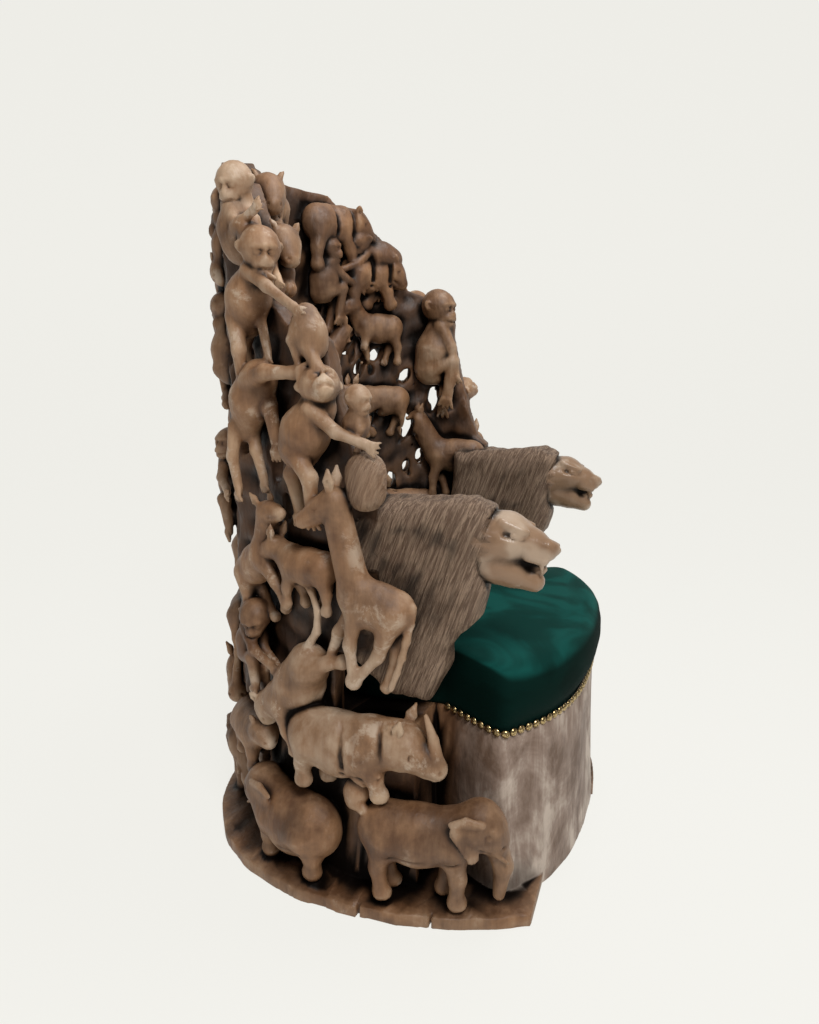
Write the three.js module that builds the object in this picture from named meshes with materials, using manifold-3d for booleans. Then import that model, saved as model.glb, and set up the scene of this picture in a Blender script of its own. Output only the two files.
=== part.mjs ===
// Carved animal throne: one log with a seat drum and a tall openwork wall of animals, a seat
// cushion and a row of domed nails. Millimetres, +Z up, the sitter faces -Y, the origin is on
// the ground at the middle of the plinth.
import * as THREE from "three";
import { mergeVertices } from "three/addons/utils/BufferGeometryUtils.js";
import Module from "manifold-3d";

const wasm = await Module();
wasm.setup();

// ---- driving dimensions (mm, degrees) ---------------------------------------------------------
const GAP = 0.3;
const PLINTH = { halfWidth: 470, front: 570, back: 440, squareness: 2, backSquareness: 2.3, steps: 60,
  thickness: 24, cut: -325, ledge: 11, tip: 60, split: 7 };
const DRUM = { halfWidth: 420, front: 366, squareness: 2.5, frontFrom: -235, steps: 72,
  waist: 262, waistY: -116, side: 385, back: 352, sideFrom: -100, lean: 12, top: 332 };
const WALL = { halfWidth: 420, halfDepth: 400, flatten: 0.35, outer: -28, inner: -62, foot: 300, step: 6, end: 96 };
const CUSHION = { top: 474, crease: 455, inset: 3, bulge: 12, backY: 262, backHalf: 278, backSteps: 13, middleY: -60 };
const LION = { x: 338, halfThick: 55, bevel: 30 };
const NAIL = { count: 57, radius: 8, rise: 5, z: 336, sides: 6, margin: 0.018 };
const THRONE_TRIANGLES = 8600;

// The rim's height over the distance from the back's middle, in degrees round the wall.
const RIM = [[0, 1372], [28, 1370], [36, 1325], [46, 1312], [55, 1262], [62, 1165], [74, 1138], [82, 1050],
  [86, 930], [92, 800], [96, 780]];

// ---- small helpers ----------------------------------------------------------------------------
const radians = THREE.MathUtils.degToRad;
const vector = (x, y, z) => new THREE.Vector3(x, y, z);

/** The height that a list of [place, height] stations gives at a place, by straight lines. */
function along(stations, place) {
  const beyond = stations.findIndex(([at]) => at > place);
  const next = beyond < 0 ? stations.length - 1 : Math.max(beyond, 1);
  const [a, low] = stations[next - 1];
  const [b, high] = stations[next];
  return low + (high - low) * THREE.MathUtils.clamp((place - a) / (b - a), 0, 1);
}

/** A point on the wall: t degrees round from the back's middle (near side positive), z up, n outwards. */
function onWall(t, z, n = 0) {
  const side = Math.sign(t);
  const turn = radians(Math.abs(t));
  const width = WALL.halfWidth + n;
  const x = turn < Math.PI / 2 ? width * Math.sin(turn) : width * (1 - WALL.flatten * (1 - Math.sin(turn)));
  return vector(-side * x, (WALL.halfDepth + n) * Math.cos(turn), z);
}

/** A solid from a geometry: shared vertices merged, flat triangles dropped, faces turned outwards. */
function solid(geometry) {
  const bare = geometry.clone();
  bare.deleteAttribute("normal");
  bare.deleteAttribute("uv");
  const merged = mergeVertices(bare, 1e-3);
  const vertProperties = new Float32Array(merged.attributes.position.array);
  const index = merged.index.array;
  const corners = [];
  for (let i = 0; i < index.length; i += 3) {
    const [a, b, c] = [index[i], index[i + 1], index[i + 2]];
    if (a !== b && b !== c && c !== a) corners.push(a, b, c);
  }
  const corner = (i) => vector(...vertProperties.subarray(3 * i, 3 * i + 3));
  let volume = 0;
  for (let i = 0; i < corners.length; i += 3) {
    volume += corner(corners[i]).dot(corner(corners[i + 1]).cross(corner(corners[i + 2])));
  }
  if (volume < 0) corners.reverse();
  return new wasm.Manifold(new wasm.Mesh({ numProp: 3, vertProperties, triVerts: new Uint32Array(corners) }));
}

/** A three.js geometry with the vertices and triangles of a solid. */
function geometryOf(body) {
  const mesh = body.getMesh();
  const geometry = new THREE.BufferGeometry();
  geometry.setAttribute("position", new THREE.Float32BufferAttribute(mesh.vertProperties, 3));
  geometry.setIndex(new THREE.Uint32BufferAttribute(mesh.triVerts, 1));
  geometry.computeVertexNormals();
  return geometry;
}

/** The same closed surface with fewer triangles: passes over its edges, the least costly first by the
 *  squared distance to the faces round it; a collapse that would pinch or flip the surface is left out. */
function lightened(geometry, target) {
  const points = [];
  const at = geometry.attributes.position;
  for (let i = 0; i < at.count; i += 1) points.push(new THREE.Vector3().fromBufferAttribute(at, i));
  let faces = [];
  for (let i = 0; i < geometry.index.count; i += 3) faces.push([0, 1, 2].map((k) => geometry.index.getX(i + k)));
  const normalOf = ([a, b, c], swap = (i) => points[i]) => {
    const origin = swap(a);
    return swap(b).clone().sub(origin).cross(swap(c).clone().sub(origin));
  };
  const errors = points.map(() => new Float64Array(10));
  faces.forEach((face) => {
    const area = normalOf(face);
    const weight = area.length();
    if (weight < 1e-9) return;
    const [x, y, z] = area.divideScalar(weight).toArray();
    const w = -area.dot(points[face[0]]);
    const terms = [x * x, x * y, x * z, x * w, y * y, y * z, y * w, z * z, z * w, w * w];
    face.forEach((i) => terms.forEach((term, k) => { errors[i][k] += term * weight; }));
  });
  const costAt = (i, j, { x, y, z }) => {
    const [a, b, c, d, e, f, g, h, k, l] = errors[i].map((value, n) => value + errors[j][n]);
    return a * x * x + e * y * y + h * z * z + l + 2 * (b * x * y + c * x * z + f * y * z + d * x + g * y + k * z);
  };
  for (let pass = 0; pass < 60 && faces.length > target; pass += 1) {
    const round = points.map(() => []);
    faces.forEach((face, n) => face.forEach((i) => round[i].push(n)));
    const near = (i) => new Set(round[i].flatMap((n) => faces[n]).filter((j) => j !== i));
    const edges = faces.flatMap((face) => face.map((i, k) => [i, face[(k + 1) % 3]])).filter(([i, j]) => i < j);
    const ranked = edges.map(([i, j]) => {
      const middle = points[i].clone().add(points[j]).multiplyScalar(0.5);
      const places = [middle, points[i], points[j]].map((place) => [costAt(i, j, place), place]);
      const [cost, place] = places.reduce((best, next) => (next[0] < best[0] ? next : best));
      return { i, j, cost: cost + 1e-3 * points[i].distanceTo(points[j]), place: place.clone() };
    }).sort((a, b) => a.cost - b.cost);
    const touched = new Set();
    const gone = new Set();
    const batch = Math.max(0.25 * (faces.length - target), 8);
    for (const { i, j, place } of ranked) {
      if (gone.size > batch || faces.length - gone.size <= target) break;
      const ring = [...near(i), ...near(j)];
      const shared = [...near(i)].filter((k) => near(j).has(k));
      if (shared.length !== 2 || ring.some((k) => touched.has(k))) continue;
      const moved = [...round[i], ...round[j]].filter((n) => !(faces[n].includes(i) && faces[n].includes(j)));
      const swap = (k) => (k === i || k === j ? place : points[k]);
      const turns = moved.some((n) => {
        const [before, after] = [normalOf(faces[n]), normalOf(faces[n], swap)];
        return after.length() < 0.5 || before.dot(after) < 0.3 * before.length() * after.length();
      });
      if (turns) continue;
      round[i].filter((n) => faces[n].includes(j)).forEach((n) => gone.add(n));
      round[j].forEach((n) => { faces[n] = faces[n].map((k) => (k === j ? i : k)); });
      points[i] = place;
      errors[i] = errors[i].map((value, n) => value + errors[j][n]);
      [...ring, i, j].forEach((k) => touched.add(k));
    }
    if (gone.size === 0) break;
    faces = faces.filter((_, n) => !gone.has(n));
  }
  const used = [...new Set(faces.flat())];
  const order = new Map(used.map((i, n) => [i, n]));
  const light = new THREE.BufferGeometry().setFromPoints(used.map((i) => points[i]));
  light.setIndex(faces.flat().map((i) => order.get(i)));
  light.computeVertexNormals();
  return light;
}

/** A closed skin over rings of equal length, closed at both ends by fans to the given tips. */
function skin(rings, firstTip, lastTip) {
  const count = rings[0].length;
  const points = [...rings.flat(), firstTip, lastTip];
  const index = [];
  const at = (ring, i) => ring * count + (i % count);
  for (let i = 0; i < count; i += 1) {
    index.push(points.length - 2, at(0, i + 1), at(0, i));
    index.push(points.length - 1, at(rings.length - 1, i), at(rings.length - 1, i + 1));
    for (let ring = 1; ring < rings.length; ring += 1) {
      index.push(at(ring - 1, i), at(ring - 1, i + 1), at(ring, i + 1));
      index.push(at(ring - 1, i), at(ring, i + 1), at(ring, i));
    }
  }
  const geometry = new THREE.BufferGeometry().setFromPoints(points);
  geometry.setIndex(index);
  return geometry;
}

/** A limb: a tube of changing radius through points, with blunt pointed ends; its few-sided rings
 *  have the area of round ones, pressed flat by a share along a direction where one is given. */
function limb(points, radii, sides = 4, flat = null) {
  const last = points.length - 1;
  const full = Math.sqrt((2 * Math.PI) / (sides * Math.sin((2 * Math.PI) / sides)));
  const rings = points.map((point, k) => {
    const heading = points[Math.min(k + 1, last)].clone().sub(points[Math.max(k - 1, 0)]).normalize();
    const aside = Math.abs(heading.z) < 0.8 ? vector(0, 0, 1) : vector(point.x, point.y, 0).normalize();
    const across = heading.clone().cross(aside).normalize();
    const up = across.clone().cross(heading);
    return Array.from({ length: sides }, (_, i) => {
      const turn = (2 * Math.PI * (i + 0.5)) / sides;
      const offset = across.clone().multiplyScalar(Math.cos(turn)).addScaledVector(up, Math.sin(turn));
      if (flat) offset.addScaledVector(flat.normal, (flat.share - 1) * offset.dot(flat.normal));
      return point.clone().addScaledVector(offset, radii[k] * full);
    });
  });
  const tip = (end, before, radius) => end.clone().add(end.clone().sub(before).setLength(0.7 * radius));
  const first = tip(points[0], points[1], radii[0]);
  return solid(skin(rings, first, tip(points[last], points[last - 1], radii[last])));
}

/** A flat slab from an outline of [x, y] points, between two heights. */
function slab(outline, low, high) {
  const shape = new THREE.Shape(outline.map(([x, y]) => new THREE.Vector2(x, y)));
  const geometry = new THREE.ExtrudeGeometry(shape, { depth: high - low, bevelEnabled: false });
  return geometry.translate(0, 0, low);
}

// ---- plinth, drum and wall --------------------------------------------------------------------
/** A rounded outline: half width, front and back depths, and how square each half is. */
function outlineOf({ halfWidth, front, back, squareness, backSquareness = 2, steps }, offset = 0) {
  return Array.from({ length: steps }, (_, i) => {
    const turn = (2 * Math.PI * i) / steps;
    const [depth, square] = Math.sin(turn) < 0 ? [front, squareness] : [back, backSquareness];
    const x = Math.sign(Math.cos(turn)) * Math.abs(Math.cos(turn)) ** (2 / square) * (halfWidth + offset);
    return [x, Math.sign(Math.sin(turn)) * Math.abs(Math.sin(turn)) ** (2 / square) * (depth + offset)];
  });
}

/** The drum's bowed front, from the sitter's right to the left. */
function drumFront(offset = 0) {
  return outlineOf(DRUM, offset).filter(([, y]) => y < DRUM.frontFrom);
}

/** The plinth follows the animals' feet, is cut off square before the near lion, and beyond the tip
 *  it goes on as a narrow ledge round the drum. */
function plinth() {
  const { cut, ledge, tip, thickness } = PLINTH;
  const ring = outlineOf(PLINTH);
  const last = ring.findIndex(([, y]) => y < cut);
  const first = ring.length - [...ring].reverse().findIndex(([, y]) => y < cut);
  const lip = drumFront(DRUM.lean + ledge).filter(([x, y]) => x > tip && y < cut);
  const outline = [...ring.slice(0, last), [-389, cut], [tip, cut], [tip, -DRUM.front - DRUM.lean - ledge], ...lip,
    [389, cut], ...ring.slice(first)];
  const splits = [[-466, -28], [-444, -158]].map(([x, y]) => {
    const wedge = new THREE.CylinderGeometry(PLINTH.split, PLINTH.split, 3 * thickness, 3);
    return solid(wedge.rotateX(Math.PI / 2).rotateZ(Math.PI / 3).scale(2, 0.5, 1).translate(x, y, 0));
  });
  return splits.reduce((body, split) => body.subtract(split), solid(slab(outline, 0, thickness)));
}

/** The drum: a bowed front pinched at the lions, round behind, and a little wider at its foot. */
function drum() {
  const behind = Array.from({ length: 17 }, (_, i) => {
    const turn = Math.PI * (i / 16);
    return [DRUM.side * Math.cos(turn), DRUM.back * Math.sin(turn)];
  });
  const outline = [...drumFront(), [DRUM.waist, DRUM.waistY], [DRUM.side, DRUM.sideFrom], ...behind,
    [-DRUM.side, DRUM.sideFrom], [-DRUM.waist, DRUM.waistY]];
  const ring = (z, offset) => outline.map(([x, y]) => {
    const grown = 1 + offset / Math.hypot(x, y);
    return vector(x * grown, y * grown, z);
  });
  const foot = PLINTH.thickness / 2;
  return solid(skin([ring(foot, DRUM.lean), ring(DRUM.top, 0)], vector(0, 0, foot), vector(0, 0, DRUM.top)));
}

/** The wall as a closed strip of columns that follow the rim, from one front end to the other. */
function wall() {
  const columns = [];
  for (let t = -WALL.end; t <= WALL.end; t += WALL.step) {
    const top = along(RIM, Math.abs(t)) - 22;
    columns.push([
      onWall(t, WALL.foot, WALL.outer), onWall(t, top, WALL.outer),
      onWall(t, top, WALL.inner), onWall(t, WALL.foot, WALL.inner),
    ]);
  }
  const middle = (ring) => ring.reduce((sum, point) => sum.add(point), vector(0, 0, 0)).divideScalar(4);
  return solid(skin(columns, middle(columns[0]), middle(columns[columns.length - 1])));
}

/** Gaps right through the wall between the animals: [t, z, half width, half height]. */
const PIERCINGS = [[36, 1008, 15, 24], [48, 981, 14, 20], [61, 929, 12, 16], [73, 870, 9, 15], [62, 793, 14, 18],
  [44, 809, 16, 26], [55, 662, 8, 14], [62, 690, 8, 12], [67, 722, 7, 10], [20, 1090, 14, 18], [22, 860, 12, 22],
  [24, 700, 10, 18], [8, 950, 10, 20], [6, 620, 10, 16]];

function piercing([t, z, wide, tall]) {
  const [a, b] = [onWall(t, z, WALL.inner - 60), onWall(t, z, WALL.outer + 60)];
  const across = vector(0, 0, 1).cross(b.clone().sub(a)).normalize();
  const rings = [a, b].map((centre) => Array.from({ length: 6 }, (_, i) => {
    const turn = (2 * Math.PI * i) / 6;
    return centre.clone().addScaledVector(across, wide * Math.cos(turn)).add(vector(0, 0, tall * Math.sin(turn)));
  }));
  return solid(skin(rings, a, b));
}

// ---- animals ----------------------------------------------------------------------------------
// A figure's own frame: u forwards along the wall, w up, n off the wall's face. "layer" is where
// its middle lies (0 on the outer face) and "out" the way its face turns (-1 into the bucket).
const OUTSIDE = { layer: 0, out: 1 };
const INSIDE = { layer: -82, out: -1 };

/** Maps a figure's own (u, w, n) to the world, the body turned by its pitch. */
function framed(figure) {
  const { t, z, facing = 1, pitch = 0, side = OUTSIDE, lift = 0 } = figure;
  const degreesPerMm = THREE.MathUtils.radToDeg(1 / (410 + side.layer));
  return (u, w, n = 0, turned = true) => {
    const turn = turned ? radians(pitch) : 0;
    const forward = u * Math.cos(turn) - w * Math.sin(turn);
    const up = u * Math.sin(turn) + w * Math.cos(turn);
    return onWall(t + facing * forward * degreesPerMm, z + up, side.layer + side.out * (lift + n));
  };
}

const turned = ([u, w], angle, size) => [u + size * Math.cos(radians(angle)), w + size * Math.sin(radians(angle))];

/** A four-legged animal; angles are degrees above "forwards" for neck, head and tail, and from
 *  straight down, forwards positive, for the legs [hind, fore]. */
function beast(figure) {
  const { length, girth, leg, hoof, neck, head, stride = [-12, 12], tail, trunk, horn, ear, flap } = figure;
  const place = framed(figure);
  const half = length / 2;
  const nape = [half + 0.3 * girth, 0.25 * girth];
  const skull = turned(nape, neck.angle, neck.length);
  const nose = turned(skull, head.angle, head.length);
  const flat = { normal: place(0, 0, 1).sub(place(0, 0)).normalize(), share: 0.8 };
  const parts = [
    limb([place(-half, 0), place(0, -0.08 * girth), place(half, 0)], [0.94 * girth, girth, 0.92 * girth], 5, flat),
    limb([place(...nape), place(...skull, 4), place(...nose, 6)], [0.7 * girth, head.size, 0.6 * head.size], 5),
  ];
  stride.forEach((angle, front) => {
    const hip = [front ? half : -half, -0.35 * girth];
    const foot = turned(hip, angle - 90, leg);
    const off = 0.3 * girth;
    parts.push(limb([place(...hip, off), place(...foot, off)], [0.46 * girth, hoof], 4));
  });
  if (tail) {
    const spots = [[-half - 0.7 * girth, 0.45 * girth]];
    for (let k = 0; k < 4; k += 1) {
      spots.push(turned(spots[k], tail.angle + 0.62 * tail.curl * k, tail.length / 4));
    }
    parts.push(limb(spots.map((spot) => place(...spot, 6)), [8, 7.5, 7, 6, 6], 3));
  }
  if (trunk) {
    const bend = turned(nose, -66, 0.5 * trunk);
    const end = turned(bend, -96, 0.5 * trunk);
    parts.push(limb([place(...nose, 4), place(...bend, 4), place(...end, 2)], [0.5 * head.size, 0.4 * head.size, 9], 4));
  }
  if (horn) {
    const root = [nose[0] - 0.1 * head.length, nose[1] + 0.4 * head.size];
    parts.push(limb([place(...root, 6), place(...turned(root, horn.angle, horn.length), 8)], [horn.size, 4], 3));
  }
  if (flap) {
    const [u, w] = skull;
    const s = head.size;
    const spots = [place(u - 0.5 * s, w + 0.3 * s, 0.9 * s), place(u - 0.7 * s, w - 0.9 * s, 0.9 * s)];
    parts.push(limb(spots, [0.6 * s, 0.4 * s], 4, { ...flat, share: 0.35 }));
  }
  if (ear) {
    const root = [skull[0] - 0.5 * head.size, skull[1] + 0.3 * head.size];
    const tip = turned(root, ear.angle, ear.length);
    parts.push(limb([place(...root, 0.8 * head.size), place(...tip, 0.9 * head.size)], [ear.size, 0.5 * ear.size], 3));
  }
  return parts;
}

/** A monkey: torso from hip to shoulder, a round head, and limbs as [angle, size, angle, size]
 *  from the shoulder or hip, angles in degrees above "forwards". */
function monkey(figure) {
  const { torso, girth, lean, head, arms, legs } = figure;
  const place = framed(figure);
  const shoulder = turned([0, 0], lean, torso);
  const parts = [limb([place(0, 0), place(...shoulder)], [girth, 0.8 * girth], 5)];
  if (head) {
    const skull = turned(shoulder, head.angle, head.size * 1.1);
    const muzzle = turned(skull, head.look, head.size * 0.6);
    parts.push(limb([place(...skull, 6), place(...muzzle, 10)], [head.size, 0.66 * head.size], 5));
  }
  const reach = (from, [first, upper, second, lower], off, thick) => {
    const joint = turned(from, first, upper);
    const end = turned(joint, second, lower);
    parts.push(limb([place(...from, off), place(...joint, off + 4), place(...end, off)], [thick, 0.85 * thick, 0.8 * thick], 3));
  };
  arms.forEach((arm, i) => reach(shoulder, arm, (i ? -0.2 : 0.5) * girth, 0.42 * girth));
  legs.forEach((leg, i) => reach([0, 0], leg, (i ? -0.2 : 0.5) * girth, 0.5 * girth));
  return parts;
}

/** A plain ball of hair or a head that only rounds out of the wall. */
function ball(figure) {
  const place = framed(figure);
  const { size } = figure;
  return [limb([place(0, -0.5 * size), place(0, 0, 4), place(0, 0.5 * size)], [0.72 * size, size, 0.72 * size], 6)];
}

const KINDS = { beast, monkey, ball };

// Body plans that several figures share; a figure's own row changes what it needs.
const ELEPHANT = { kind: "beast", length: 110, girth: 62, leg: 94, hoof: 19, neck: { length: 30, angle: 22, size: 46 },
  head: { length: 36, angle: -38, size: 44 }, trunk: 122, flap: true, stride: [-4, 6] };
const RHINO = { kind: "beast", length: 106, girth: 60, leg: 66, hoof: 15, neck: { length: 50, angle: -2, size: 46 },
  head: { length: 70, angle: -24, size: 38 }, horn: { length: 84, angle: 104, size: 13 }, stride: [-14, 26] };
const ANTELOPE = { kind: "beast", length: 66, girth: 38, leg: 74, hoof: 8, neck: { length: 62, angle: 52, size: 21 },
  head: { length: 48, angle: -24, size: 20 }, ear: { length: 34, angle: 106, size: 9 } };
const CAT = { kind: "beast", length: 84, girth: 40, leg: 64, hoof: 12, neck: { length: 36, angle: 14, size: 30 },
  head: { length: 30, angle: -18, size: 29 }, tail: { length: 120, angle: 150, curl: -60 } };
const APE = { kind: "monkey", torso: 90, girth: 36, lean: 80, head: { size: 30, angle: 80, look: 0 },
  arms: [[-40, 52, -20, 48], [-60, 46, -30, 44]], legs: [[10, 46, -95, 52], [-30, 44, -100, 46]] };
const BALL = { kind: "ball" };

// The side that shows: each row is one animal, from the ground up.
const FLANK = [
  { ...ELEPHANT, t: 108, z: 162, lift: 4, neck: { length: 44, angle: 20, size: 46 } },
  { ...ELEPHANT, t: 71, z: 122, facing: -1, length: 90, girth: 66, leg: 60, stride: [-14, 8], trunk: 50 },
  { ...APE, t: 91, z: 205, torso: 40, girth: 22, head: { size: 21, angle: 80, look: 0 }, arms: [], legs: [[-20,
    22, -80, 20]] },
  { ...RHINO, t: 86.5, z: 314 },
  { ...CAT, t: 73, z: 405, facing: -1, pitch: -52, length: 110, girth: 43, leg: 80, stride: [-64, 30],
    tail: { length: 190, angle: 176, curl: -54 } },
  { ...CAT, t: 47, z: 250, facing: 1, length: 60, girth: 44, leg: 60, tail: null },
  { ...APE, t: 52, z: 420, torso: 62, lean: 76, girth: 34, head: { size: 31, angle: 50, look: -35 } },
  { ...ANTELOPE, t: 98, z: 586, facing: -1, pitch: 16, lift: 20, length: 60, girth: 40, leg: 132,
    neck: { length: 152, angle: 62, size: 24 }, head: { length: 66, angle: -46, size: 25 }, stride: [12, -14],
    tail: { length: 150, angle: 262, curl: 6 }, ear: { length: 40, angle: 120, size: 10 } },
  { ...ANTELOPE, t: 78.5, z: 632, facing: -1, length: 62, girth: 33, leg: 64, neck: { length: 40, angle: 20,
    size: 21 } },
  { ...ANTELOPE, t: 57, z: 610, pitch: 34, length: 80, girth: 36, leg: 96, neck: { length: 70, angle: 40,
    size: 22 } },
  { ...BALL, t: 95, z: 788, size: 38, lift: 4 },
  { ...APE, t: 77, z: 838, torso: 78, lean: 58, girth: 42, head: { size: 34, angle: 80, look: 46 },
    arms: [[-36, 58, -22, 46], [-165, 40, -100, 40]], legs: [[-50, 60, -92, 52], [-118, 56, -80, 56]] },
  { ...APE, t: 92.5, z: 870, torso: 30, girth: 20, head: { size: 21, angle: 84, look: -16 }, legs: [],
    arms: [[-70, 24, -100, 30]] },
  { ...APE, t: 62.5, z: 946, torso: 100, lean: 236, girth: 40, head: null, arms: [[262, 56, 276, 56], [300, 50,
    286, 50]], legs: [[16, 56, 0, 56], [-62, 50, -82, 60]] },
  { ...APE, t: 84.5, z: 1024, torso: 30, lean: 112, girth: 38, head: null, arms: [], legs: [[-70, 44, -120,
    40], [-100, 44, -80, 40]] },
  { ...APE, t: 57, z: 1054, torso: 90, lean: 54, girth: 41, head: { size: 34, angle: 62, look: -8 },
    arms: [[-28, 62, -34, 58], [-100, 66, -80, 66]], legs: [[-70, 60, -96, 50], [-118, 60, -84, 50]] },
  { ...APE, t: 53.5, z: 1176, torso: 66, lean: 92, girth: 38, head: { size: 31, angle: 84, look: -12 },
    lift: -10, arms: [[-44, 62, 24, 50], [-30, 60, -60, 110]], legs: [[24, 62, -56, 90], [-60, 50, -100, 50]] },
  { ...APE, t: 66, z: 1184, torso: 36, lean: 98, girth: 24, head: { size: 22, angle: 96, look: -40 }, arms: [],
    legs: [] },
];

// The bucket's inner face, seen across the seat.
const BOSOM = [
  { ...RHINO, t: 24, z: 1290, length: 62, girth: 46, leg: 80, horn: null, neck: { length: 30, angle: -12,
    size: 36 }, head: { length: 46, angle: -34, size: 32 } },
  { ...APE, t: 54, z: 1212, facing: -1, torso: 64, lean: 16, girth: 32, head: { size: 30, angle: 36,
    look: -30 } },
  { ...RHINO, t: 43, z: 1180, length: 56, girth: 44, leg: 66, horn: null, neck: { length: 22, angle: -20,
    size: 34 }, head: { length: 38, angle: -44, size: 30 } },
  { ...ANTELOPE, t: 48, z: 1050, facing: -1, girth: 34, neck: { length: 56, angle: 56, size: 20 } },
  { ...APE, t: 74, z: 950, torso: 104, lean: 76, girth: 42, head: { size: 38, angle: 100, look: -12 },
    arms: [[-60, 60, -80, 60], [-90, 60, -70, 50]], legs: [[16, 62, -100, 74], [-40, 50, -100, 50]] },
  { ...ANTELOPE, t: 47, z: 888, facing: -1, length: 74, girth: 36 },
  { ...ANTELOPE, t: 84, z: 730, facing: -1, length: 84, girth: 42, leg: 90, neck: { length: 90, angle: 58,
    size: 28 } },
  { ...APE, t: 20, z: 1130, torso: 66, girth: 34, head: { size: 29, angle: 84, look: -10 } },
  { ...ANTELOPE, t: 16, z: 980 },
  { ...CAT, t: 18, z: 800, facing: -1 },
  { ...ANTELOPE, t: 30, z: 620, length: 80 },
  { ...CAT, t: 62, z: 600, facing: -1, tail: null },
];

// The back, which is plainer: rows of walking animals with apes between.
const SPINE = [
  { ...ELEPHANT, t: 18, z: 138, trunk: 100 },
  { ...ELEPHANT, t: -26, z: 138, trunk: 100 },
  { ...RHINO, t: 8, z: 290 },
  { ...CAT, t: -30, z: 300, facing: -1, tail: null },
  { ...ANTELOPE, t: 24, z: 440, facing: -1 },
  { ...ANTELOPE, t: -16, z: 440 },
  { ...CAT, t: 10, z: 570, facing: -1, tail: null },
  { ...ANTELOPE, t: -28, z: 590, facing: -1 },
  { ...APE, t: 26, z: 690 },
  { ...APE, t: -8, z: 690, facing: -1 },
  { ...ANTELOPE, t: 10, z: 850 },
  { ...RHINO, t: -30, z: 850, facing: -1, girth: 48, horn: null },
  { ...APE, t: 28, z: 960, facing: -1 },
  { ...APE, t: -6, z: 980 },
  { ...CAT, t: 14, z: 1130, tail: null },
  { ...ANTELOPE, t: -22, z: 1110 },
  { ...APE, t: 28, z: 1230, facing: -1 },
  { ...RHINO, t: 0, z: 1290, length: 64, girth: 46, horn: null },
  { ...APE, t: -30, z: 1220 },
];

const mirrored = (figure) => ({ ...figure, t: -figure.t, facing: -(figure.facing ?? 1) });
const inside = (figure) => ({ ...figure, side: INSIDE });

/** The far flank repeats the near one but for the figures that rise over its lower rim. */
const farFlank = FLANK.filter(({ t }) => ![95, 92.5, 84.5, 66].includes(t)).map(mirrored)
  .map((figure) => ({ ...figure, z: figure.z - (figure.z > 800 ? 35 : 0) }));

function herd() {
  const figures = [...FLANK, ...farFlank, ...SPINE, ...BOSOM.map(inside), ...BOSOM.map(inside).map(mirrored)];
  return figures.flatMap((figure) => KINDS[figure.kind](figure));
}

// ---- lions ------------------------------------------------------------------------------------
/** One lion: a slab of mane in side view, (y, z), with a bevelled edge, and the face before it. */
function lion(side) {
  const profile = [[30, 745], [-60, 750], [-200, 762], [-240, 750], [-244, 700], [-236, 640], [-233, 580],
    [-212, 548], [-178, 520], [-160, 490], [-153, 450], [-140, 420], [-128, 392], [-50, 396], [10, 450], [36, 560]];
  const shape = new THREE.Shape(profile.map(([y, z]) => new THREE.Vector2(y, z)));
  const depth = 2 * (LION.halfThick - LION.bevel);
  const bevel = { bevelThickness: LION.bevel, bevelSize: LION.bevel, bevelOffset: -LION.bevel, bevelSegments: 1 };
  const mane = new THREE.ExtrudeGeometry(shape, { depth, ...bevel });
  mane.translate(0, 0, -depth / 2).applyMatrix4(new THREE.Matrix4().set(0, 0, 1, 0, 1, 0, 0, 0, 0, 1, 0, 0, 0, 0, 0, 1));
  const at = (y, z) => vector(side * LION.x, y, z);
  const face = [
    limb([at(-236, 694), at(-272, 691), at(-300, 682), at(-324, 675)], [46, 40, 30, 17], 8),
    limb([at(-240, 650), at(-276, 636), at(-300, 625)], [36, 25, 17], 6),
  ];
  return [solid(mane.translate(side * LION.x, 0, 0)), ...face];
}

// ---- the pieces -------------------------------------------------------------------------------
function throne() {
  const pierced = [...PIERCINGS, ...PIERCINGS.map(([t, ...rest]) => [-t, ...rest])];
  const holed = pierced.map(piercing).reduce((body, gap) => body.subtract(gap), wall());
  const pieces = [plinth(), drum(), ...herd(), ...lion(-1), ...lion(1)];
  const whole = pieces.reduce((body, piece) => body.add(piece), holed);
  return whole.decompose().reduce((most, body) => (body.volume() > most.volume() ? body : most));
}

/** The edge that the nails follow: the drum's front with its corners turned in to the lions. */
function seatEdge(offset = 0) {
  const waist = DRUM.waist + offset;
  return [[-waist, DRUM.waistY], ...drumFront(offset), [waist, DRUM.waistY]];
}

/** The cushion: it widens over the nails to a soft edge, then a low crown; grown by a margin all round. */
function cushion(margin = 0) {
  const back = Array.from({ length: CUSHION.backSteps }, (_, i) => {
    const turn = Math.PI * (i / (CUSHION.backSteps - 1));
    return [CUSHION.backHalf * Math.cos(turn), CUSHION.backY * Math.sin(turn)];
  });
  const outline = [...seatEdge(-CUSHION.inset), ...back];
  const { middleY, crease, top, bulge } = CUSHION;
  const levels = [[DRUM.top + GAP, 0, 1], [NAIL.z + 12, 0, 1], [NAIL.z + 36, bulge, 1], [crease - 14, bulge, 1],
    [crease + 5, 0, 0.97], [top - 5, 0, 0.8]];
  const rings = levels.map(([z, out, share], i) => outline.map(([x, y]) => {
    const swell = y < DRUM.frontFrom ? out : 0;
    const size = share * (1 + (swell + margin) / Math.hypot(x, y - middleY));
    return vector(x * size, middleY + (y - middleY) * size, z + (i ? margin : -margin));
  }));
  return skin(rings, vector(0, middleY, levels[0][0] - margin), vector(0, middleY, top + margin));
}

/** The nails' places and outward turns: even steps along the seat's edge, just clear of the lions. */
function nailPlaces() {
  const curve = new THREE.CatmullRomCurve3(seatEdge().map(([x, y]) => vector(x, y, NAIL.z)), false, "centripetal");
  curve.arcLengthDivisions = 1200;
  return Array.from({ length: NAIL.count }, (_, i) => {
    const share = THREE.MathUtils.lerp(NAIL.margin, 1 - NAIL.margin, i / (NAIL.count - 1));
    const heading = curve.getTangentAt(share);
    return { point: curve.getPointAt(share), turn: Math.atan2(-heading.x, heading.y) };
  });
}

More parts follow.
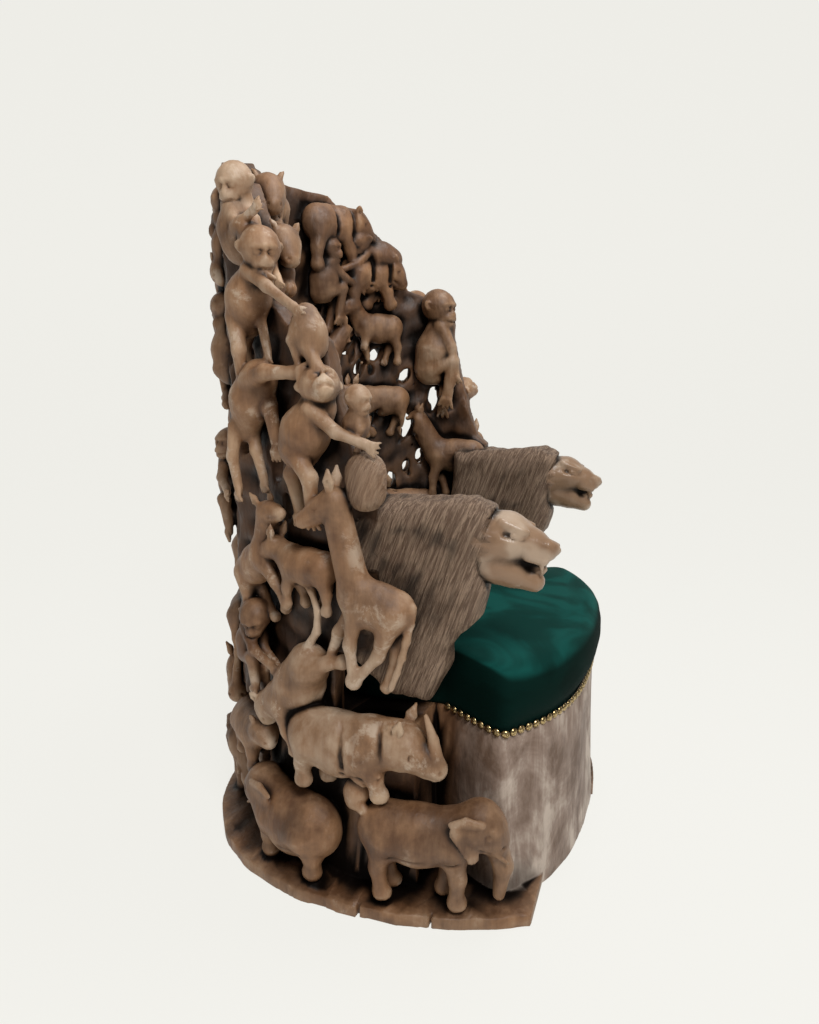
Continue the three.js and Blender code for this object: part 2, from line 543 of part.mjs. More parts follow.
/** One nail head: a flat back and a low dome that points along +X. */
function nailHead() {
  const profile = [[0, 0], [NAIL.radius, 0], [0, NAIL.rise]].map(([r, h]) => new THREE.Vector2(r, h));
  return new THREE.LatheGeometry(profile, NAIL.sides).rotateZ(-Math.PI / 2);
}

/** A named mesh with its own material. */
function piece(name, geometry, color, roughness, metalness) {
  const mesh = new THREE.Mesh(geometry, new THREE.MeshStandardMaterial({ color, roughness, metalness }));
  mesh.name = name;
  return mesh;
}

/** The whole log, lightened, then cut clear of the cushion; what the cut leaves loose is dropped. */
function throneLog() {
  const cut = solid(lightened(geometryOf(throne()), THRONE_TRIANGLES)).subtract(solid(cushion(GAP)));
  return cut.decompose().reduce((most, body) => (body.volume() > most.volume() ? body : most));
}

const group = new THREE.Group();
group.add(piece("carved_throne", geometryOf(throneLog()), 0x6f5440, 0.6, 0));
group.add(piece("seat_cushion", cushion(), 0x0f4a40, 0.9, 0));
nailPlaces().forEach(({ point, turn }, i) => {
  const nail = piece(`brass_nail_${String(i + 1).padStart(2, "0")}`, nailHead(), 0x8a6a35, 0.35, 1);
  nail.rotation.z = turn;
  nail.position.copy(point).add(vector(Math.cos(turn), Math.sin(turn), 0).multiplyScalar(2 * GAP));
  group.add(nail);
});
export default group;
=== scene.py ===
"""Looks for the carved animal throne: the log's carving as a fine mesh, the velvet, the nails."""

import logging
import math
from collections.abc import Callable
from dataclasses import dataclass, replace
from enum import Enum
from functools import partial

import bpy
import numpy as np
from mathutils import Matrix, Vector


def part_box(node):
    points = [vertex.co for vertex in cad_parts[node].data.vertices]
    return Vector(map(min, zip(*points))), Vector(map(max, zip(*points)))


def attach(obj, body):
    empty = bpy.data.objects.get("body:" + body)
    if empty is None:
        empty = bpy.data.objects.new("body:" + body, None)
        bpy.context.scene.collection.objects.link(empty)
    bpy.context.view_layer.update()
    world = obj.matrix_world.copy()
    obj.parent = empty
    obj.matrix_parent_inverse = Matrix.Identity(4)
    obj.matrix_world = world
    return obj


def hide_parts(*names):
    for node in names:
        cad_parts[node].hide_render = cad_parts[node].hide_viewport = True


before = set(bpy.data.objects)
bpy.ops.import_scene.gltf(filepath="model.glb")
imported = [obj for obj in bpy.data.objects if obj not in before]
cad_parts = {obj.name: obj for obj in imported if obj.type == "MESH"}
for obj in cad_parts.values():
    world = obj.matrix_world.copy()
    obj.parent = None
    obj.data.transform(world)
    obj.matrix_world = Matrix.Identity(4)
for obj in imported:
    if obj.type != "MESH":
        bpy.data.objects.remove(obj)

log = logging.getLogger("throne")

Point = tuple[float, float, float]
Pair = tuple[float, float]
Bend = tuple[float, float, float, float]


# ---- named sizes (metres, degrees) --------------------------------------------------------------
@dataclass(frozen=True)
class DrumSize:
    """The seat drum, bowed in front and pinched at the lions, and the plinth it stands on.

    Attributes:
        waist: Half width at the lions, where the bowed front ends.
        waist_y: How far back the waist is.
        closing: Where the bowed front's plan is closed, behind the waist.
        side: Half width of the round part behind the waist.
        back: How far back the round part goes.
        side_from: Where the round part starts.
        lean: How much wider the drum is at its foot.
        pale_from: Where the pale finish of the front starts.
        pale_fade: The depth over which it fades in.
        nail_rise: How far a nail stands off the edge.
        splits: Places (x, y) of the cracks in the plinth's rim.
    """

    waist: float = 0.262
    waist_y: float = -0.116
    closing: Pair = (0.0, 0.10)
    side: float = 0.385
    back: float = 0.352
    side_from: float = -0.100
    lean: float = 0.012
    top: float = 0.332
    pale_from: float = -0.150
    pale_fade: float = 0.03
    nail_rise: float = 0.0052
    plinth_half_width: float = 0.470
    plinth_front: float = 0.570
    plinth_back: float = 0.440
    plinth_squareness: Pair = (2.0, 2.3)
    plinth_thickness: float = 0.024
    plinth_cut: float = -0.325
    ledge: float = 0.006
    tip: float = 0.060
    splits: tuple[Pair, ...] = ((-0.466, -0.028), (-0.444, -0.158))
    split_half: float = 0.0028
    split_stretch: float = 0.12

    def seat_edge(self, offset: float = 0.0) -> np.ndarray:
        """The edge that the nails follow, a smooth curve through the nails and the waist at each end."""
        spots = [np.mean(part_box(node), 0)[:2] for node in nail_nodes()]
        points = np.array([(-self.waist, self.waist_y), *spots, (self.waist, self.waist_y)])
        wide = np.concatenate([2 * points[:1] - points[1:2], points, 2 * points[-1:] - points[-2:-1]])
        a, b, c, d = wide[:-3, None], wide[1:-2, None], wide[2:-1, None], wide[3:, None]
        t = np.linspace(0, 1, 5, endpoint=False)[None, :, None]
        curve = 2 * b + (c - a) * t + (2 * a - 5 * b + 4 * c - d) * t ** 2 + (3 * b - a - 3 * c + d) * t ** 3
        curve = np.concatenate([0.5 * curve.reshape(-1, 2), points[-1:]])
        run = np.gradient(curve, axis=0)
        out = np.stack([run[:, 1], -run[:, 0]], 1) / np.hypot(*run.T)[:, None]
        return curve + (offset - self.nail_rise / 2) * out


@dataclass(frozen=True)
class WallSize:
    """The curved wall that carries the animals; angles are degrees round from the middle of the back.

    Attributes:
        flatten: How little its front half narrows towards its ends.
        radius: Its mean radius at the figures' depth.
        inner_radius: The radius that turns degrees into widths of the openings.
        degree: How far a degree reaches along it.
        outer: Its outer face's distance from the figures' depth.
        inner: Its inner face's distance.
        back_extra: How much thicker its back is, up to back_to degrees.
        end: Where its ends are.
        arch_from: Where the opening under its ends starts.
        arch_top: How high that opening reaches.
        dip: How much lower the rim is on the sitter's right, around dip_at.
        rim: Its height at a number of angles.
    """

    half_width: float = 0.420
    half_depth: float = 0.400
    flatten: float = 0.35
    radius: float = 0.410
    inner_radius: float = 0.370
    degree: float = 0.007
    outer: float = -0.028
    inner: float = -0.062
    back_extra: float = 0.028
    back_to: float = 50.0
    back_fade: float = 8.0
    foot: float = 0.300
    front: float = -0.300
    end: float = 96.0
    arch_from: float = 83.0
    arch_top: float = 0.470
    dip: float = 0.090
    dip_at: float = 69.0
    dip_reach: float = 16.0
    rough: float = 0.004
    rough_pitch: float = 0.045
    rim: tuple[Pair, ...] = (
        (0, 1.350), (28, 1.348), (36, 1.303), (46, 1.290), (55, 1.240), (62, 1.143), (74, 1.116),
        (82, 1.028), (86, 0.908), (92, 0.778), (96, 0.758),
    )

    def point(self, t: float, z: float, n: float = 0.0) -> np.ndarray:
        """The wall's point at an angle t (positive on the sitter's right), a height and a distance out."""
        turn = math.radians(abs(t))
        width = self.half_width + n
        sine = math.sin(turn)
        x = width * sine if turn < math.pi / 2 else width * (1 - self.flatten * (1 - sine))
        return np.array([-math.copysign(x, t), (self.half_depth + n) * math.cos(turn), z])


DRUM = DrumSize()
WALL = WallSize()


def nail_nodes() -> list[str]:
    """The frame's nail nodes in order round the seat."""
    return sorted(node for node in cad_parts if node.startswith("brass_nail_"))


class Face(Enum):
    """Which face of the wall a figure is carved on: its middle's depth and the way it faces."""

    OUTSIDE = (0.0, 1.0)
    INSIDE = (-0.082, -1.0)


# ---- carving as a distance field ------------------------------------------------------------------
def smooth_min(a: np.ndarray, b: np.ndarray, reach: float) -> np.ndarray:
    """The lower of two distances, rounded where they meet within a reach."""
    if reach <= 0:
        return np.minimum(a, b)
    share = np.clip(0.5 + 0.5 * (a - b) / reach, 0.0, 1.0)
    return a + (b - a) * share - reach * share * (1 - share)


@dataclass
class Stroke:
    """A rounded bar of changing radius, added to the wood or cut from it.

    Attributes:
        start: One end's middle.
        end: The other end's middle.
        radius: The start's radius.
        end_radius: The end's radius.
        blend: How softly it joins what is there.
        cut: Whether it takes wood away.
        flat: Its thickness across ``across`` as a share of its width.
        across: The direction that is flattened.
    """

    start: np.ndarray
    end: np.ndarray
    radius: float
    end_radius: float
    blend: float = 0.006
    cut: bool = False
    flat: float = 1.0
    across: np.ndarray | None = None

    def bounds(self, pad: float) -> tuple[np.ndarray, np.ndarray]:
        """The box that the stroke can change."""
        reach = max(self.radius, self.end_radius) + pad + self.blend
        return np.minimum(self.start, self.end) - reach, np.maximum(self.start, self.end) + reach

    def distance(self, x: np.ndarray, y: np.ndarray, z: np.ndarray) -> np.ndarray:
        """Signed distance from its surface at the given places."""
        axis = self.end - self.start
        offset = [x - self.start[0], y - self.start[1], z - self.start[2]]
        if self.across is not None and self.flat != 1.0:
            grow = 1.0 / self.flat - 1.0
            lift = sum(o * c for o, c in zip(offset, self.across)) * grow
            offset = [o + lift * c for o, c in zip(offset, self.across)]
            axis = axis + grow * float(axis @ self.across) * self.across
        length = float(axis @ axis)
        share = sum(o * a for o, a in zip(offset, axis)) / length if length > 1e-12 else 0.0
        share = np.clip(share, 0.0, 1.0)
        square = sum((o - share * a) ** 2 for o, a in zip(offset, axis))
        return (np.sqrt(square) - (self.radius + (self.end_radius - self.radius) * share)).astype(np.float32)


class Block:
    """The wood as a grid of distances to its surface, negative inside."""

    FAR = 0.03

    def __init__(self, low: Point, high: Point, cell: float) -> None:
        self.cell = cell
        self.low = np.array(low)
        self.shape = tuple(int(math.ceil((b - a) / cell)) + 1 for a, b in zip(low, high))
        self.value = np.full(self.shape, self.FAR, np.float32)
        self.owner = np.zeros(self.shape, np.uint8)

    def window(self, low: np.ndarray, high: np.ndarray) -> tuple[slice, ...]:
        """The grid's slices that cover a box."""
        first = np.clip(np.floor((low - self.low) / self.cell).astype(int), 0, np.array(self.shape) - 1)
        last = np.clip(np.ceil((high - self.low) / self.cell).astype(int) + 1, first + 1, self.shape)
        return tuple(slice(a, b) for a, b in zip(first, last))

    def places(self, window: tuple[slice, ...]) -> list[np.ndarray]:
        """Open arrays of x, y and z at a window's grid points."""
        axes = [self.low[k] + self.cell * np.arange(part.start, part.stop) for k, part in enumerate(window)]
        return [a.astype(np.float32).reshape([-1 if i == k else 1 for i in range(3)])
                for k, a in enumerate(axes)]

    def carve(self, strokes: list[Stroke], owner: int, seam: float = 0.0015) -> None:
        """Shapes one figure by itself, then sets it in the wood.

        Args:
            strokes: The figure's strokes in order.
            owner: The number that marks its surface.
            seam: How softly it meets its neighbours.
        """
        boxes = [stroke.bounds(0.012) for stroke in strokes if not stroke.cut]
        window = self.window(np.min([b[0] for b in boxes], 0), np.max([b[1] for b in boxes], 0))
        local = np.full([s.stop - s.start for s in window], self.FAR, np.float32)
        for stroke in strokes:
            inner = self.window(*stroke.bounds(0.008))
            inner = tuple(slice(max(a.start, b.start), min(a.stop, b.stop)) for a, b in zip(inner, window))
            if any(s.start >= s.stop for s in inner):
                continue
            part = tuple(slice(a.start - b.start, a.stop - b.start) for a, b in zip(inner, window))
            distance = stroke.distance(*self.places(inner))
            if stroke.cut:
                local[part] = -smooth_min(-local[part], distance, stroke.blend)
            else:
                local[part] = smooth_min(local[part], distance, stroke.blend)
        there = self.value[window]
        self.owner[window][local < there] = owner
        self.value[window] = smooth_min(there, local, seam)

    def owners(self, points: np.ndarray) -> np.ndarray:
        """The owner of the grid point nearest to each of the points."""
        grid = np.round((points - self.low) / self.cell).astype(int)
        return self.owner[tuple(np.clip(grid, 0, np.array(self.shape) - 1).T)]

    def surface(self) -> tuple[np.ndarray, np.ndarray]:
        """The surface as points, one in each grid cell it passes through, and four-sided faces."""
        solid = self.value < 0
        corners = [(i, j, k) for i in (0, 1) for j in (0, 1) for k in (0, 1)]
        cut = tuple(s - 1 for s in self.shape)
        count = np.zeros(cut, np.uint8)
        for i, j, k in corners:
            count += solid[i:cut[0] + i, j:cut[1] + j, k:cut[2] + k]
        cells = np.argwhere((count > 0) & (count < 8))
        number = np.full(cut, -1, np.int32)
        number[tuple(cells.T)] = np.arange(len(cells))
        values = np.stack([self.value[tuple((cells + c).T)] for c in corners], 1)
        total = np.zeros((len(cells), 3))
        hits = np.zeros(len(cells))
        for a, first in enumerate(corners):
            for b, second in enumerate(corners):
                if b <= a or sum(abs(p - q) for p, q in zip(first, second)) != 1:
                    continue
                crosses = (values[:, a] < 0) != (values[:, b] < 0)
                share = np.where(crosses, values[:, a] / np.where(crosses, values[:, a] - values[:, b], 1), 0)
                spot = np.array(first) + share[:, None] * (np.array(second) - np.array(first))
                total += spot * crosses[:, None]
                hits += crosses
        points = self.low + self.cell * (cells + total / hits[:, None])
        faces = []
        for axis in range(3):
            ahead = tuple(slice(1, None) if k == axis else slice(None) for k in range(3))
            behind = tuple(slice(None, -1) if k == axis else slice(None) for k in range(3))
            edges = np.argwhere(solid[ahead] != solid[behind])
            u, v = [(1, 2), (2, 0), (0, 1)][axis]
            keep = (edges[:, u] > 0) & (edges[:, v] > 0)
            edges = edges[keep & (edges[:, u] < cut[u]) & (edges[:, v] < cut[v])]
            quad = []
            for du, dv in ((-1, -1), (0, -1), (0, 0), (-1, 0)):
                cell = edges.copy()
                cell[:, u] += du
                cell[:, v] += dv
                quad.append(number[tuple(cell.T)])
            quad = np.stack(quad, 1)
            inward = ~solid[tuple(edges.T)]
            quad[inward] = quad[inward][:, ::-1]
            faces.append(quad)
        return points, np.concatenate(faces)


# ---- figures --------------------------------------------------------------------------------------
def stepped(place: Pair, angle: float, size: float) -> Pair:
    """The place a distance away at an angle in degrees above forwards."""
    return (place[0] + size * math.cos(math.radians(angle)), place[1] + size * math.sin(math.radians(angle)))


@dataclass(frozen=True)
class Figure:
    """Anything carved on the wall, in its own frame: u forwards, w up, n off the wall's face.

    Attributes:
        t: Degrees round the wall of its middle.
        z: Height of its middle.
        facing: 1 to face the way t grows, else -1.
        pitch: Degrees that it is turned nose up.
        lift: How far it stands off its usual depth.
        face: The wall's face it is carved on.
        tone: Light (positive) or dark against its neighbours.
    """

    t: float
    z: float
    facing: int = 1
    pitch: float = 0.0
    lift: float = 0.0
    face: Face = Face.OUTSIDE
    tone: float = 0.0

    def place(self, u: float, w: float, n: float = 0.0) -> np.ndarray:
        """Maps the figure's own frame to the world."""
        depth, out = self.face.value
        turn = math.radians(self.pitch)
        forward = u * math.cos(turn) - w * math.sin(turn)
        up = u * math.sin(turn) + w * math.cos(turn)
        t = self.t + math.degrees(self.facing * forward / (0.410 + depth))
        return WALL.point(t, self.z + up, depth + out * (self.lift + n))

    def axes(self, u: float, w: float) -> tuple[np.ndarray, ...]:
        """Unit directions of forwards, up and off the wall at a place of the figure."""
        here = self.place(u, w)
        small = 1e-3
        near = (self.place(u + small, w), self.place(u, w + small), self.place(u, w, small))
        return tuple((there - here) / np.linalg.norm(there - here) for there in near)

    def mirrored(self) -> "Figure":
        """The same figure on the other side of the throne."""
        return replace(self, t=-self.t, facing=-self.facing)

    def strokes(self) -> list[Stroke]:
        """The figure's strokes in the world; each kind of figure has its own."""
        raise NotImplementedError

    def limb(self, points: list[Point], radii: list[float], blend: float = 0.008,
             flat: float = 1.0) -> list[Stroke]:
        """A chain of strokes through points of the figure's frame."""
        spots = [self.place(*point) for point in points]
        across = self.axes(*points[0][:2])[2]
        return [
            Stroke(a, b, r, s, blend, flat=flat, across=across)
            for a, b, r, s in zip(spots, spots[1:], radii, radii[1:])
        ]


@dataclass(frozen=True)
class Feature:
    """A bar of a head, given in the head's own units.

    Attributes:
        start: One end's place.
        end: The other end's place.
        size: The start's radius.
        end_size: The end's radius.
        blend: How softly it joins, in metres.
        cut: Whether it takes wood away.
        least: The smallest radius in metres.
    """

    start: Point
    end: Point
    size: float
    end_size: float
    blend: float
    cut: bool = False
    least: float = 0.0

    def stroke(self, place: Callable[[Point], np.ndarray], scale: float = 1.0) -> Stroke:
        """The bar as a stroke, its places mapped by a function and its radii scaled."""
        sizes = [max(scale * size, self.least) for size in (self.size, self.end_size)]
        return Stroke(place(self.start), place(self.end), *sizes, self.blend, self.cut)


class Head:
    """A head's own frame: forwards along the muzzle, up, and sideways."""

    def __init__(self, figure: Figure, at: Point, look: Pair, reach: float, size: float) -> None:
        """Places the head.

        Args:
            figure: The figure that it belongs to.
            at: The skull's middle in the figure's frame.
            look: Degrees that it looks up, and out from the wall.
            reach: Length from the skull's middle to the nose.
            size: The skull's radius.
        """
        forward, up, off = figure.axes(*at[:2])
        pitch, out = math.radians(look[0] + figure.pitch), math.radians(look[1])
        if figure.pitch:
            level = (figure.place(at[0] + 1e-3, at[1]) - figure.place(*at[:2])) * np.array([1, 1, 0])
            forward = level / max(np.linalg.norm(level), 1e-9)
            up = np.array([0.0, 0.0, 1.0])
        level = forward * math.cos(out) + off * math.sin(out)
        self.reach = reach
        self.size = size
        self.middle = figure.place(*at)
        self.forward = level * math.cos(pitch) + up * math.sin(pitch)
        self.up = up * math.cos(pitch) - level * math.sin(pitch)
        self.side = np.cross(self.forward, self.up)

    def at(self, forward: float, up: float, side: float = 0.0) -> np.ndarray:
        """A place in the head's frame."""
        return self.middle + forward * self.forward + up * self.up + side * self.side

    def parts(self, features: tuple[Feature, ...], side: int = 1) -> list[Stroke]:
        """Features as strokes.

        Args:
            features: Bars in skull radii, but forwards in shares of the reach as far as the nose.
            side: 1, or -1 to mirror them to the head's other side.

        Returns:
            The strokes in order.
        """
        def place(share: Point) -> np.ndarray:
            ahead = min(share[0], 1) * self.reach + max(share[0] - 1, 0) * self.size
            return self.at(ahead, share[1] * self.size, side * share[2] * self.size)

        return [feature.stroke(place, self.size) for feature in features]

    def whole(self, middle: tuple[Feature, ...], half: tuple[Feature, ...]) -> list[Stroke]:
        """The middle's features, then one half's on either side."""
        return [*self.parts(middle), *self.parts(half, -1), *self.parts(half)]


@dataclass(frozen=True)
class Neck:
    """A neck's length, angle and radius."""

    length: float
    angle: float
    size: float


@dataclass(frozen=True)
class Muzzle:
    """A beast's head: its length from skull to nose, angle and skull radius."""

    length: float
    angle: float
    size: float
    turn: float = 8.0


@dataclass(frozen=True)
class Tail:
    """A tail's length, first angle and how much it curls."""

    length: float
    angle: float
    curl: float = 0.0


@dataclass(frozen=True)
class Spike:
    """A horn or an ear: length, angle and root radius."""

    length: float
    angle: float
    size: float


class Hide(Enum):
    """How a beast's skin and ears are carved."""

    PLAIN = "plain"
    ELEPHANT = "elephant"
    RHINO = "rhino"


# A beast's head down the middle: skull, muzzle and jaw.
BEAST_MIDDLE = (
    Feature((0, 0, 0), (0.45, 0.05, 0), 1.0, 0.80, 0.008),
    Feature((0.4, 0, 0), (1, -0.06, 0), 0.80, 0.56, 0.008),
    Feature((0.1, -0.38, 0), (0.84, -0.42, 0), 0.55, 0.36, 0.005),
)
# One half of it: brow, eye socket, eye, nostril and mouth.
BEAST_HALF = (
    Feature((0.30, 0.52, 0.62), (0.52, 0.46, 0.56), 0.17, 0.17, 0.004),
    Feature((0.42, 0.26, 0.84), (0.44, 0.26, 0.90), 0.17, 0.17, 0.003, True),
    Feature((0.42, 0.25, 0.70), (0.43, 0.25, 0.72), 0.15, 0.15, 0.001),
    Feature((1.30, 0.12, 0.36), (1.40, 0.16, 0.50), 0.10, 0.10, 0.002, True),
    Feature((0.55, -0.40, 0.72), (1.30, -0.30, 0.42), 0.07, 0.07, 0.001, True, 0.0024),
)


@dataclass(frozen=True)
class Beast(Figure):
    """A four-legged animal; angles are in degrees above forwards, the legs' from straight down."""

    length: float = 0.080
    girth: float = 0.036
    depth: float = 0.8
    leg: float = 0.080
    hoof: float = 0.009
    neck: Neck = Neck(0.050, 45, 0.020)
    head: Muzzle = Muzzle(0.044, -24, 0.020)
    stride: Pair = (-12, 12)
    tail: Tail | None = None
    trunk: float = 0.0
    horn: Spike | None = None
    ear: Spike | None = None
    hide: Hide = Hide.PLAIN

    def strokes(self) -> list[Stroke]:
        """Body, legs, neck, head and what the kind adds."""
        half, g = self.length / 2, self.girth
        nape = (half + 0.3 * g, 0.25 * g)
        skull = stepped(nape, self.neck.angle, self.neck.length)
        trunk = [(-half, 0, 0), (0, -0.08 * g, 0), (half, 0, 0)]
        made = self.limb(trunk, [0.94 * g, g, 0.92 * g], 0.012, self.depth)
        made += self.limb([(*nape, 0), (*skull, 0.004)], [0.70 * g, self.neck.size], 0.016, 0.9)
        made += self.legs(half, g)
        made += self.head_strokes(skull)
        if self.tail:
            root = (-half - 0.7 * g, 0.45 * g)
            made += self.limb(self.curve(root, self.tail), [0.008, 0.007, 0.0065, 0.006, 0.005, 0.006], 0.006)
        if self.hide is Hide.RHINO:
            made += self.folds(half, g)
        if self.hide is Hide.ELEPHANT:
            made += self.skirt(half, g)
        return made

    def curve(self, root: Pair, tail: Tail) -> list[Point]:
        """A tail's points, each step turned a little more."""
        points = [root]
        for k in range(5):
            points.append(stepped(points[-1], tail.angle + tail.curl * k / 2, tail.length / 5))
        return [(u, w, 0.002 + 0.1 * self.girth) for u, w in points]

    def legs(self, half: float, g: float) -> list[Stroke]:
        """Two legs on the near side and two behind them, each with thigh, joint and foot."""
        made = []
        stem = max(0.24 * g, 0.9 * self.hoof)
        foot_size = self.hoof if self.hide is Hide.PLAIN else 1.02 * stem
        for behind in (False, True):
            off = (-0.42 if behind else 0.40) * g * self.depth
            for front in (0, 1):
                angle = self.stride[front] * (-0.9 if behind else 1.0) - 90
                hip = ((half if front else -half), -0.15 * g)
                foot = stepped((hip[0], -0.35 * g), angle, self.leg)
                bow = (0.07 if front else -0.10) * self.leg
                knee = (0.45 * hip[0] + 0.55 * foot[0] + bow, 0.45 * hip[1] + 0.55 * foot[1])
                toe = (foot[0] + 0.45 * self.hoof, foot[1])
                thigh = (0.50 if front else 0.62) * g
                bones = [(*hip, off), (*knee, off * 1.1), (*foot, off * 1.05)]
                made += self.limb(bones, [thigh, stem, 0.92 * stem], 0.012)
                made += self.limb([bones[-1], (*toe, off * 1.1)], [foot_size, 0.85 * foot_size], 0.010)
        return made

    def head_strokes(self, skull: Pair) -> list[Stroke]:
        """The head with its ears, horn and trunk."""
        s, reach = self.head.size, self.head.length
        head = Head(self, (*skull, 0.004), (self.head.angle, self.head.turn), reach, s)
        made = head.whole(BEAST_MIDDLE, BEAST_HALF)
        if self.hide is Hide.ELEPHANT:
            made += self.flap(skull, s)
        elif self.ear:
            made += self.ears(head)
        if self.horn:
            size, length = self.horn.size, self.horn.length
            root = head.at(reach - 0.1 * s, 0.3 * s)
            tip = head.at(*stepped((reach - 0.1 * s, 0.3 * s), self.horn.angle, length))
            middle = (root + tip) / 2 + 0.05 * length * head.forward
            made.append(Stroke(root, middle, size, 0.72 * size, 0.006))
            made.append(Stroke(middle, tip, 0.72 * size, 0.004, 0.003))
        if self.trunk:
            made += self.trunk_strokes(stepped(skull, self.head.angle, reach), s)
        return made

    def ears(self, head: Head) -> list[Stroke]:
        """A pair of hollowed leaves."""
        made = []
        s, size = head.size, self.ear.size
        root = (-0.25 * s, 0.62 * s)
        tip = stepped(root, self.ear.angle, self.ear.length)
        for side in (-1, 1):
            a = head.at(*root, side * 0.62 * s)
            b = head.at(*tip, side * 0.95 * s)
            middle = (a + b) / 2
            nudge = side * 0.55 * size * head.side
            hollow = (0.75 * a + 0.25 * b + nudge, 0.3 * a + 0.7 * b + nudge)
            made += [
                Stroke(a, middle, 0.6 * size, size, 0.003, flat=0.6, across=head.side),
                Stroke(middle, b, size, 0.3 * size, 0.002, flat=0.6, across=head.side),
                Stroke(*hollow, 0.42 * size, 0.2 * size, 0.001, cut=True),
            ]
        return made

    def flap(self, skull: Pair, s: float) -> list[Stroke]:
        """An elephant's ear: a flat flap on the shoulder under a rolled top edge with a slit below it."""
        across = self.axes(*skull)[2]

        def flat(a: Pair, b: Pair, lift: float, sizes: Pair, thick: float) -> Stroke:
            spots = [self.place(skull[0] + p[0] * s, skull[1] + p[1] * s, 0.90 * s + lift) for p in (a, b)]
            return Stroke(*spots, sizes[0] * s, sizes[1] * s, 0.003, flat=thick, across=across)

        return [
            flat((-0.35, 0.25), (-1.05, 0.20), 0.0, (0.50, 0.46), 0.26),
            flat((-0.75, 0.05), (-0.55, -0.95), -0.001, (0.62, 0.26), 0.22),
            flat((-0.20, 0.60), (-0.85, 0.72), 0.002, (0.15, 0.17), 0.8),
            flat((-0.85, 0.72), (-1.45, 0.52), 0.002, (0.17, 0.12), 0.8),
            replace(flat((-0.30, 0.40), (-1.25, 0.42), 0.008, (0.07, 0.07), 1.0), cut=True, blend=0.002),
        ]

    def trunk_strokes(self, nose: Pair, s: float) -> list[Stroke]:
        """A trunk that hangs, with a tusk on its near side."""
        bend = stepped(nose, -66, 0.5 * self.trunk)
        end = stepped(bend, -96, 0.5 * self.trunk)
        root = (nose[0] - 0.2 * s, nose[1] - 0.3 * s)
        tusk = [(*root, 0.55 * s), (*stepped(root, -35, 0.8 * s), 0.6 * s)]
        hose = [(*nose, 0.002), (*bend, 0.002), (*end, 0)]
        return self.limb(hose, [0.56 * s, 0.40 * s, 0.011]) + self.limb(tusk, [0.0055, 0.003], 0.002)

    def folds(self, half: float, g: float) -> list[Stroke]:
        """Grooves of a rhino's plated skin at the neck and behind the shoulder, with the hem between."""
        made = []
        for u in (half - 0.62 * g, half + 0.50 * g):
            spots = [
                (u + 0.10 * g * math.sin(w), 1.03 * g * math.cos(w), 1.03 * self.depth * g * math.sin(w))
                for w in np.arange(0.35, 2.5, 0.4)
            ]
            made += [replace(s, cut=True, blend=0.004) for s in self.limb(spots, [0.0055] * 6)]
        hem = [
            (half + u * g, -0.62 * g - 0.06 * g * math.cos(3 * u), 0.72 * g * self.depth)
            for u in (-0.6, -0.2, 0.2, 0.55)
        ]
        return made + self.limb(hem, [0.004] * 4, 0.003)

    def skirt(self, half: float, g: float) -> list[Stroke]:
        """The long groove over an elephant's belly."""
        spots = [
            (u * half, -0.50 * g - 0.12 * g * math.cos(1.4 * u), 0.86 * g * self.depth)
            for u in (-1.1, -0.6, 0.0, 0.6, 1.2)
        ]
        return [replace(s, cut=True, blend=0.003) for s in self.limb(spots, [0.0024] * 5)]


@dataclass(frozen=True)
class Skull:
    """An ape's head: radius, the neck's angle, and where it looks, up and out from the wall."""

    size: float
    angle: float = 80.0
    look: float = 0.0
    turn: float = 40.0


# An ape's head down the middle: cranium, muzzle and the two brows; the nose comes last of all.
APE_MIDDLE = (
    Feature((-0.10, 0.10, 0), (0.05, 0.05, 0), 0.98, 0.98, 0.004),
    Feature((0.45, -0.42, 0), (0.78, -0.52, 0), 0.60, 0.53, 0.006),
    Feature((0.74, 0.30, -0.52), (0.95, 0.36, 0), 0.15, 0.14, 0.003),
    Feature((0.74, 0.30, 0.52), (0.95, 0.36, 0), 0.15, 0.14, 0.003),
)
# One half of it: eye socket, eye, nostril, two stretches of mouth, cheek fold, ear and its hollow.
APE_HALF = (
    Feature((0.98, 0.08, 0.24), (0.88, 0.02, 0.58), 0.17, 0.15, 0.003, True),
    Feature((0.82, 0.05, 0.34), (0.79, 0.03, 0.44), 0.16, 0.14, 0.0008),
    Feature((1.06, -0.16, 0.10), (1.12, -0.20, 0.14), 0.06, 0.06, 0.0015, True),
    Feature((1.28, -0.64, 0), (1.05, -0.67, 0.46), 0.08, 0.08, 0.001, True, 0.0030),
    Feature((1.05, -0.67, 0.46), (0.72, -0.70, 0.60), 0.06, 0.06, 0.001, True, 0.0026),
    Feature((1.00, -0.10, 0.40), (0.92, -0.30, 0.58), 0.07, 0.07, 0.002, True),
    Feature((-0.12, -0.04, 0.86), (-0.16, 0.10, 0.96), 0.24, 0.25, 0.003),
    Feature((0.02, 0.02, 1.10), (0.0, 0.10, 1.14), 0.14, 0.14, 0.002, True),
)
APE_NOSE = (Feature((0.92, 0.08, 0), (1.14, -0.20, 0), 0.08, 0.15, 0.004),)


